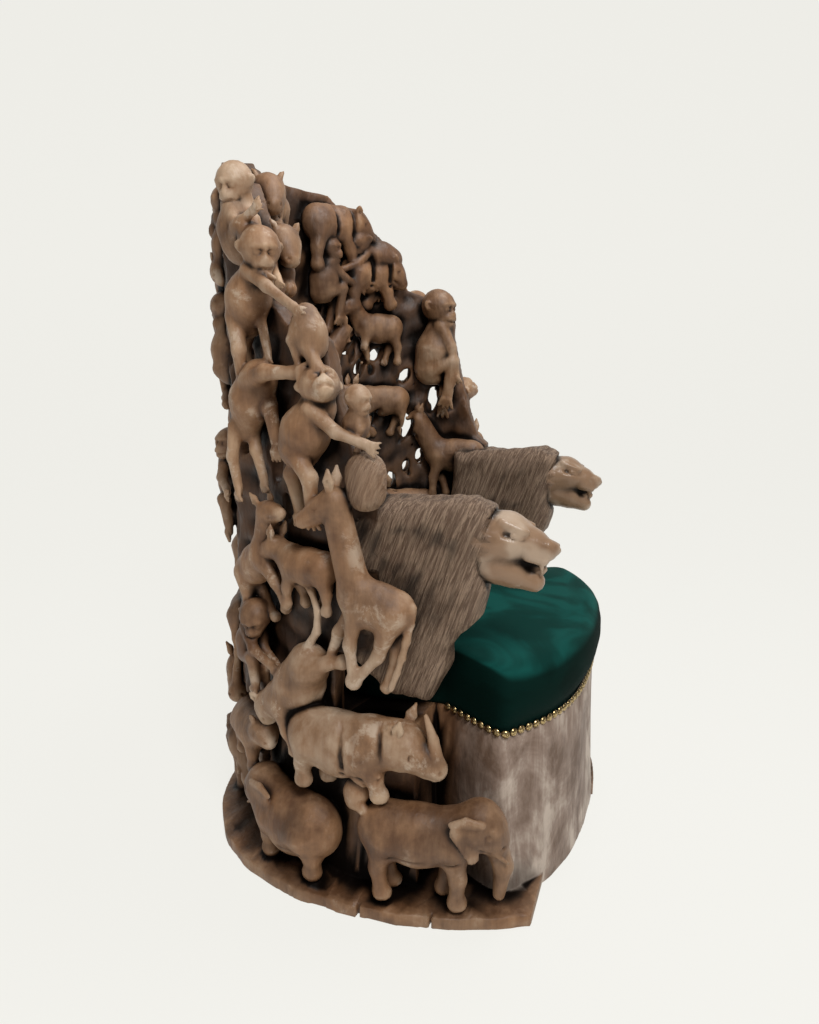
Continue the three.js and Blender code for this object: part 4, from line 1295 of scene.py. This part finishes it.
class Shader:
    """A small builder of node materials; what its methods take may be signals or plain values."""

    COLOUR_A = 6
    COLOUR_B = 7
    COLOUR_RESULT = 2

    def __init__(self, name: str) -> None:
        self.material = bpy.data.materials.new(name)
        self.material.use_nodes = True
        self.tree = self.material.node_tree
        self.coords = self.node("TexCoord", "Object", {})

    def link(self, source, target: bpy.types.NodeSocket) -> None:
        """Joins a signal to an input, or sets the input where the source is a plain value."""
        if isinstance(source, Signal):
            self.tree.links.new(source.socket, target)
        else:
            target.default_value = source

    def node(self, kind: str, output: str | int, inputs: dict, **settings) -> Signal:
        """Adds a node.

        Args:
            kind: Its type's name after ShaderNode.
            output: The output that is wanted.
            inputs: Signals and values by the input's name or number.
            settings: The node's own settings.

        Returns:
            The output as a signal.
        """
        made = self.tree.nodes.new(f"ShaderNode{kind}")
        for label, value in settings.items():
            setattr(made, label, value)
        for label, value in inputs.items():
            self.link(value, made.inputs[label])
        return Signal(self, made.outputs[output])

    def stretched(self, scale: Point, tilt: float = 0.0) -> Signal:
        """Object coordinates turned by a tilt about x in degrees, then scaled along each axis."""
        turned = self.node("Mapping", 0, {"Vector": self.coords, "Rotation": (math.radians(tilt), 0, 0)})
        return self.node("Mapping", 0, {"Vector": turned, "Scale": scale})

    def noise(self, vector: Signal, scale: float, detail: float, roughness: float = 0.6,
              distortion: float = 0.0) -> Signal:
        """A noise between 0 and 1."""
        values = {"Vector": vector, "Scale": scale, "Detail": detail, "Roughness": roughness,
                  "Distortion": distortion}
        return self.node("TexNoise", "Fac", values)

    def point_values(self, *labels: str) -> list[Signal]:
        """Numbers stored at the mesh's points."""
        return [self.node("Attribute", "Fac", {}, attribute_name=label) for label in labels]

    def math(self, kind: str, a, b, clamp: bool = False) -> Signal:
        """One step of arithmetic."""
        return self.node("Math", 0, {0: a, 1: b}, operation=kind, use_clamp=clamp)

    def spread(self, value: Signal, low: float, high: float, to_low: float = 0.0,
               to_high: float = 1.0) -> Signal:
        """Maps a range smoothly onto another and keeps within it."""
        values = {"Value": value, "From Min": low, "From Max": high, "To Min": to_low, "To Max": to_high}
        return self.node("MapRange", "Result", values, interpolation_type="SMOOTHSTEP")

    def ramp(self, value: Signal, *stops: tuple[float, Point]) -> Signal:
        """A colour ramp."""
        made = self.node("ValToRGB", "Color", {"Fac": value})
        elements = made.socket.node.color_ramp.elements
        while len(elements) < len(stops):
            elements.new(0.5)
        for element, (place, colour) in zip(elements, stops):
            element.position = place
            element.color = (*colour, 1.0)
        return made

    def mix(self, share, a, b, kind: str = "MIX") -> Signal:
        """Mixes two colours."""
        a, b = ((*colour, 1.0) if isinstance(colour, tuple) else colour for colour in (a, b))
        values = {"Factor": share, self.COLOUR_A: a, self.COLOUR_B: b}
        return self.node("Mix", self.COLOUR_RESULT, values, data_type="RGBA", blend_type=kind)

    def blend(self, share: Signal, a, b) -> Signal:
        """Mixes two numbers."""
        return self.node("Mix", "Result", {"Factor": share, "A": a, "B": b}, data_type="FLOAT")

    def bump(self, height: Signal, strength: float, distance: float, under: Signal | None = None) -> Signal:
        """A bump, over another where one is given."""
        values = {"Strength": strength, "Distance": distance, "Height": height}
        if under is not None:
            values["Normal"] = under
        return self.node("Bump", "Normal", values)

    def finish(self, **inputs) -> bpy.types.Material:
        """Sets the surface's inputs by name and gives the material back."""
        surface = self.tree.nodes["Principled BSDF"]
        for label, value in inputs.items():
            self.link(value, surface.inputs[label.replace("_", " ")])
        return self.material


@dataclass(frozen=True)
class CarvedWood:
    """Waxed hardwood: painted shade in the hollows and creases, pale on the high spots from wear and painted
    highlight; pale streaked drum; combed manes.
    """

    # Painted shade: this near-black colour is laid into hollows and fine creases in place of shadow.
    painted_shade: Point = (0.0045, 0.0025, 0.0016)
    dark: Point = (0.040, 0.019, 0.0095)
    brown: Point = (0.125, 0.062, 0.030)
    tan: Point = (0.265, 0.150, 0.080)
    pale: Point = (0.52, 0.385, 0.27)
    # This pale colour serves the chalky wear patches and the painted highlight patches on the lion faces.
    amber: Point = (1.0, 0.80, 0.58)
    wear_and_painted_light: Point = (0.56, 0.44, 0.33)
    mane: Point = (0.118, 0.068, 0.041)
    mane_light: Point = (0.300, 0.205, 0.138)
    face: Point = (0.285, 0.178, 0.108)
    drum_brown: Point = (0.150, 0.090, 0.058)
    drum_mid: Point = (0.295, 0.212, 0.165)
    drum_pale: Point = (0.56, 0.46, 0.38)

    def build(self) -> bpy.types.Material:
        """Makes the material: the figures' wood, then manes, faces and drum over it, then the painted shade
        in hollows and creases.
        """
        s = Shader("carved_wood")
        hollow, edge, tone = s.point_values("hollow", "edge", "tone")
        mane, polish, drum = s.point_values("mane", "polish", "drum")
        grain = s.noise(s.stretched((70, 70, 4.5)), 1.0, 6, 0.65)
        patches = s.noise(s.coords, 9.0, 4, 0.55, 0.4)
        blotch = s.noise(s.coords, 34.0, 5, 0.7)
        # Convexity from the edge share: it lightens high spots (wear and painted highlight) and darkens
        # creases (painted shade).
        wear_and_painted_light = 0.5 - edge
        base = tone * 0.35 + patches * 0.85 + (grain - 0.5) * 0.30 + (blotch - 0.5) * 0.30
        base = s.math("ADD", base + s.math("MINIMUM", wear_and_painted_light, 0.22), 0.04, clamp=True)
        skin = s.ramp(base, (0.05, self.dark), (0.38, self.brown), (0.60, self.tan), (0.95, self.pale))
        warmth = s.spread(s.noise(s.coords, 6.0, 3, 0.5, 0.5), 0.40, 0.62, 0.0, 0.45)
        skin = s.mix(warmth, skin, s.mix(1.0, skin, self.amber, "MULTIPLY"))
        chalk = s.spread(s.noise(s.coords, 15.0, 7, 0.72, 0.3), 0.53, 0.63)
        skin = s.mix(chalk * s.spread(wear_and_painted_light + tone * 0.35, 0.04, 0.20) * 0.66, skin, self.wear_and_painted_light)

        combed = s.noise(s.stretched((50, 230, 15), -20), 1.0, 3, 0.60, 0.9) * 0.65
        combed = combed + s.noise(s.stretched((110, 640, 30), -20), 1.0, 2, 0.6, 0.6) * 0.35
        skin = s.mix(mane, skin, s.mix(s.spread(combed, 0.40, 0.62), self.mane, self.mane_light))
        skin = s.mix(polish * s.spread(patches, 0.30, 0.62, 0.55, 0.95), skin, self.face)
        # Painted highlight: pale patches on the polished lion faces.
        gleam = polish * s.spread(s.noise(s.coords, 17.0, 2, 0.5, 0.2), 0.48, 0.66, 0.0, 0.5)
        skin = s.mix(gleam, skin, self.wear_and_painted_light)
        streak = s.noise(s.stretched((22, 22, 5.5)), 1.0, 8, 0.66, 0.5)
        wash = s.noise(s.stretched((9, 9, 6.5)), 1.0, 5, 0.62, 0.6)
        washed = s.ramp(streak * 0.45 + wash * 0.75, (0.47, self.drum_brown), (0.59, self.drum_mid),
                        (0.70, self.drum_pale))
        skin = s.mix(drum, skin, washed)

        # Painted shade: where the hollow share is high the colour goes to near-black, less on the drum and
        # manes; then fine creases get the same painted shade.
        deep = s.spread(hollow + (blotch - 0.5) * 0.10, 0.47, 0.66)
        deep = deep * s.blend(drum, 1.0, 0.35) * s.blend(mane, 1.0, 0.45)
        skin = s.mix(deep, skin, self.painted_shade)
        skin = s.mix(s.spread(edge, 0.53, 0.68, 0.0, 0.85) * s.blend(drum, 1.0, 0.4), skin, self.painted_shade)
        rough = s.blend(polish, s.spread(blotch, 0.3, 0.8, 0.46, 0.68), 0.30)
        rough = s.blend(drum, s.blend(mane, rough, 0.62), 0.60)
        fine = s.noise(s.stretched((260, 260, 60)), 1.0, 4)
        knife = s.noise(s.stretched((55, 55, 30)), 1.0, 2, 0.5, 0.6)
        normal = s.bump(knife * s.blend(polish, 1.0, 0.25), 0.55, 0.0035)
        normal = s.bump(fine, 0.30, 0.0012, normal)
        normal = s.bump(grain * s.blend(polish, 1.0, 0.2), 0.40, 0.0022, normal)
        normal = s.bump(combed * mane, 1.0, 0.0075, normal)
        return s.finish(Base_Color=skin, Roughness=rough, Normal=normal,
                        Specular_IOR_Level=s.blend(deep, 0.42, 0.05))


@dataclass(frozen=True)
class Velvet:
    """Deep green velvet with brushed patches of nap; painted light makes its top light and painted shade
    makes its side nearly black.
    """

    # The first colour is the dark nap colour and also the painted shade of the side; the second is the colour
    # of the painted lit top.
    deep: Point = (0.0008, 0.0085, 0.0060)
    light: Point = (0.0045, 0.062, 0.052)
    sheen: Point = (0.10, 0.42, 0.36)

    def build(self) -> bpy.types.Material:
        """Makes the material."""
        s = Shader("velvet")
        brushed = s.noise(s.stretched((5, 5, 9)), 1.0, 3, 0.5, 1.2)
        pile = s.noise(s.coords, 900.0, 2)
        top = s.spread(s.point_values("top")[0], 0.35, 0.75)
        shade = s.spread(brushed, 0.40, 0.64) * 0.8 + pile * 0.25
        # Painted light and shade: the colour is scaled down where the surface faces less upwards, so the top
        # is lit and the side nearly black.
        shade = s.math("ADD", shade, 0.25, clamp=True) * s.blend(top, 0.10, 1.0)
        return s.finish(Base_Color=s.mix(shade, self.deep, self.light), Roughness=0.85,
                        Specular_IOR_Level=0.06, Sheen_Weight=s.blend(top, 0.0, 0.30), Sheen_Roughness=0.35,
                        Sheen_Tint=(*self.sheen, 1.0), Normal=s.bump(pile, 0.35, 0.0006))


@dataclass(frozen=True)
class AntiqueBrass:
    """Brass gone brown, bright where it is rubbed."""

    bright: Point = (0.62, 0.46, 0.22)
    brown: Point = (0.060, 0.036, 0.017)

    def build(self) -> bpy.types.Material:
        """Makes the material."""
        s = Shader("antique_brass")
        spots = s.noise(s.coords, 420.0, 3)
        colour = s.mix(s.spread(spots, 0.35, 0.62), self.brown, self.bright)
        return s.finish(Base_Color=colour, Metallic=1.0, Roughness=s.spread(spots, 0.3, 0.7, 0.42, 0.24),
                        Normal=s.bump(spots, 0.12, 0.0006))


@dataclass(frozen=True)
class Backdrop:
    """A plain pale studio sweep."""

    colour: Point = (0.09, 0.09, 0.09)
    glow: Point = (0.815, 0.807, 0.762)

    def build(self) -> bpy.types.Material:
        """Makes the material; its glow stands for the light that a whole studio would give it."""
        return Shader("backdrop").finish(
            Base_Color=(*self.colour, 1.0), Emission_Color=(*self.glow, 1.0), Emission_Strength=1.0,
            Roughness=1.0, Specular_IOR_Level=0.0)


# ---- pieces ---------------------------------------------------------------------------------------
def linked(name: str, data: bpy.types.ID) -> bpy.types.Object:
    """An object made of some data, linked to the scene."""
    made = bpy.data.objects.new(name, data)
    bpy.context.scene.collection.objects.link(made)
    return made


def mesh_object(name: str, points: np.ndarray, faces: list) -> bpy.types.Object:
    """A smooth mesh object from points and faces given as point numbers."""
    mesh = bpy.data.meshes.new(name)
    mesh.from_pydata([tuple(p) for p in points], [], faces)
    mesh.update()
    mesh.polygons.foreach_set("use_smooth", [True] * len(mesh.polygons))
    return linked(name, mesh)


def ring_faces(rings: int, count: int) -> list[tuple[int, ...]]:
    """Four-sided faces between rings of points, with a many-sided face at each end."""
    faces = [tuple(range(count))[::-1], tuple(range((rings - 1) * count, rings * count))]
    for ring in range(rings - 1):
        for i in range(count):
            j = (i + 1) % count
            faces.append((ring * count + i, ring * count + j, (ring + 1) * count + j, (ring + 1) * count + i))
    return faces


@dataclass(frozen=True)
class Cushion:
    """The seat cushion, from the frame's box and the edge it shares with the drum.

    Attributes:
        inset: How far its foot stays inside the drum's edge.
        crease: Height of the soft top edge.
        back_half: Half width of its round back.
        back_y: How far back it goes.
        middle: The middle that its rings shrink to.
        count: Points in a ring.
        swell: How much more it swells over the nails in front, from swell_from on.
        side: Its side's profile: share of the height to the crease, and how far it stands out.
        crown: The crown's rings as shares of the outline.
    """

    inset: float = 0.003
    crease: float = 0.455
    back_half: float = 0.278
    back_y: float = 0.262
    middle: Pair = (0.0, -0.060)
    count: int = 300
    swell: float = 1.5
    swell_from: float = -0.20
    swell_fade: float = 0.08
    side: tuple[Pair, ...] = (
        (0.0, -0.004), (0.05, 0.0), (0.12, 0.0005), (0.20, 0.0045), (0.32, 0.0095), (0.48, 0.012),
        (0.66, 0.0118), (0.80, 0.009), (0.89, 0.005), (0.955, -0.001), (0.995, -0.008), (1.02, -0.017),
        (1.035, -0.030), (1.045, -0.048),
    )
    crown: tuple[float, ...] = (0.78, 0.66, 0.54, 0.42, 0.30, 0.18, 0.07)

    def outline(self) -> np.ndarray:
        """The plan outline as evenly spaced points."""
        bow = np.linspace(0, math.pi, 60)
        back = np.stack([self.back_half * np.cos(bow), self.back_y * np.sin(bow)], 1)
        edge = DRUM.seat_edge(-self.inset)
        path = np.concatenate([edge, back, edge[:1]])
        run = np.concatenate([[0], np.cumsum(np.hypot(*np.diff(path, axis=0).T))])
        even = np.linspace(0, run[-1], self.count, endpoint=False)
        path = np.stack([np.interp(even, run, path[:, 0]), np.interp(even, run, path[:, 1])], 1)
        for _ in range(4):
            path = 0.5 * path + 0.25 * (np.roll(path, 1, 0) + np.roll(path, -1, 0))
        return path

    def build(self) -> bpy.types.Object:
        """The crowned cushion: it swells over the nails to a soft edge, with a low crown and soft dents."""
        low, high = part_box("seat_cushion")
        base, top = low[2], high[2] - 0.002
        rise = self.crease - base
        outline = self.outline()
        middle = np.array(self.middle)
        out = outline - middle
        size = np.hypot(*out.T)[:, None]
        front = np.clip((self.swell_from - outline[:, 1:]) / self.swell_fade, 0, 1)
        plans = [1 + offset * (front * self.swell if offset > 0 else 1) / size for _, offset in self.side]
        heights = [base + share * rise for share, _ in self.side]
        start = heights[-1]
        for inward in self.crown:
            plans.append(inward)
            heights.append(start + (top - start) * (1 - inward ** 2) ** 0.8)
        rings = [np.column_stack([middle + out * plan, np.full(len(out), height)])
                 for plan, height in zip(plans, heights)]
        points = np.concatenate(rings)
        x, y, z = points.T
        soft = np.clip((z - base) / rise, 0, 1)
        points[:, 2] += 0.0022 * wave(x, y, z, 0.16, 21) * soft ** 3
        ripple = 0.0012 * wave(x, y, z, 0.05, 22) * soft * (1 - soft) * 4
        points[:, :2] += ripple[:, None] * (points[:, :2] - middle)
        made = mesh_object("seat_cushion_velvet", points, ring_faces(len(rings), self.count))
        # The points' upward facing, which the velvet turns into painted light on the top and painted shade on
        # the side.
        level = np.array([v.normal.z for v in made.data.vertices], np.float32)
        made.data.attributes.new("top", "FLOAT", "POINT").data.foreach_set("value", level)
        return made


class Nails:
    """The domed nail heads, one to each frame node."""

    RADIUS = 0.0080
    SIDES = 18
    PROFILE = ((0.94, 0.0), (1.0, 0.08), (0.97, 0.22), (0.86, 0.50), (0.66, 0.76), (0.40, 0.93),
               (0.14, 0.995))

    def build(self) -> list[bpy.types.Object]:
        """One smooth dome for each nail node, its back on the drum's edge."""
        edge = DRUM.seat_edge()
        middles = (edge[1:] + edge[:-1]) / 2
        made = []
        for node in nail_nodes():
            centre = np.mean(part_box(node), 0)
            nearest = int(np.argmin(np.hypot(*(middles - centre[:2]).T)))
            run = edge[nearest + 1] - edge[nearest]
            out = np.array([run[1], -run[0], 0.0]) / np.hypot(*run)
            made.append(self.dome(f"{node}_head", centre - out * DRUM.nail_rise / 2, out))
            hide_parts(node)
        return made

    def dome(self, name: str, back: np.ndarray, out: np.ndarray) -> bpy.types.Object:
        """A low dome with a thin rim."""
        up = np.array([0.0, 0.0, 1.0])
        turns = np.linspace(0, 2 * math.pi, self.SIDES, endpoint=False)[:, None]
        circle = self.RADIUS * (np.cos(turns) * np.cross(up, out) + np.sin(turns) * up)
        rings = [back + out * DRUM.nail_rise * high + wide * circle for wide, high in self.PROFILE]
        return mesh_object(name, np.concatenate(rings), ring_faces(len(rings), self.SIDES))


# ---- stage ----------------------------------------------------------------------------------------
@dataclass(frozen=True)
class Viewpoint:
    """The camera's place and aim."""

    place: Point = (-1.531, -0.505, 1.001)
    azimuth: float = 19.60
    pitch: float = 12.35
    lens: float = 26.37

    def build(self) -> None:
        """Adds the camera."""
        data = bpy.data.cameras.new("camera")
        data.lens = self.lens
        data.sensor_width = 36.0
        camera = linked("camera", data)
        camera.location = self.place
        camera.rotation_euler = (math.radians(90 - self.pitch), 0, math.radians(self.azimuth - 90))
        bpy.context.scene.camera = camera


@dataclass(frozen=True)
class AreaLight:
    """A square soft light: its place, aim, size and power."""

    name: str
    place: Point
    aim: Point
    size: float
    power: float

    def build(self) -> None:
        """Adds the light."""
        data = bpy.data.lights.new(self.name, "AREA")
        data.energy = self.power
        data.size = self.size
        light = linked(self.name, data)
        light.location = self.place
        way = np.array(self.aim) - np.array(self.place)
        light.rotation_euler = (math.acos(-way[2] / np.linalg.norm(way)), 0, math.atan2(-way[0], way[1]))


@dataclass(frozen=True)
class Studio:
    """A pale sweep and soft lights.

    Attributes:
        near: How far the floor reaches towards the camera.
        far: Where the floor starts to curve up.
        bend: The curve's radius.
        top: The backdrop's height.
        half: Half its width.
        world: The surroundings' colour.
        strength: How bright they are.
        lights: The lights.
    """

    near: float = -4.0
    far: float = 3.0
    bend: float = 1.6
    top: float = 7.0
    half: float = 8.0
    world: Point = (1.0, 0.985, 0.95)
    strength: float = 0.20
    lights: tuple[AreaLight, ...] = (
        AreaLight("key", (-1.9, -1.3, 2.9), (-0.2, 0.0, 0.6), 0.8, 62),
        AreaLight("fill", (-2.9, 1.2, 1.3), (0.0, 0.0, 0.6), 2.0, 5),
        AreaLight("top", (0.2, -0.5, 3.0), (0.0, 0.0, 0.8), 0.8, 26),
    )

    def build(self) -> None:
        """Adds the sweep, the lights and the surroundings."""
        self.sweep()
        for light in self.lights:
            light.build()
        world = bpy.data.worlds.new("studio")
        world.use_nodes = True
        background = world.node_tree.nodes["Background"]
        background.inputs["Color"].default_value = (*self.world, 1.0)
        background.inputs["Strength"].default_value = self.strength
        bpy.context.scene.world = world
        bpy.context.scene.view_settings.view_transform = "Standard"

    def sweep(self) -> None:
        """A floor that curves up into a backdrop on the far side."""
        profile = [(self.near, 0.0), (self.far, 0.0)]
        for turn in np.linspace(0, math.pi / 2, 13)[1:]:
            profile.append((self.far + self.bend * math.sin(turn), self.bend * (1 - math.cos(turn))))
        profile.append((self.far + self.bend, self.top))
        points = [(x, y, z) for y in (-self.half, self.half) for x, z in profile]
        count = len(profile)
        faces = [(i, i + 1, count + i + 1, count + i) for i in range(count - 1)]
        made = mesh_object("backdrop", np.array(points), faces)
        made.data.materials.append(Backdrop().build())
        made.rotation_euler = (0, 0, math.radians(Viewpoint.azimuth))


def main() -> None:
    """Builds everything in order."""
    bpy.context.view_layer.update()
    Viewpoint().build()
    Studio().build()

    carving = Log()
    carving.base()
    carving.wall()
    carving.animals()
    for side in (-1, 1):
        carving.lion(side)
    throne = carved_mesh("throne_carving", carving, Thinning())
    throne.data.materials.append(CarvedWood().build())
    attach(throne, "root")
    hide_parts("carved_throne")
    log.info("throne carved")

    cushion = Cushion().build()
    cushion.data.materials.append(Velvet().build())
    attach(cushion, "root")
    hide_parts("seat_cushion")
    log.info("cushion made")

    brass = AntiqueBrass().build()
    for nail in Nails().build():
        nail.data.materials.append(brass)
        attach(nail, "root")
    log.info("nails set")


if __name__ == "__main__":
    logging.basicConfig(level=logging.INFO)
    main()
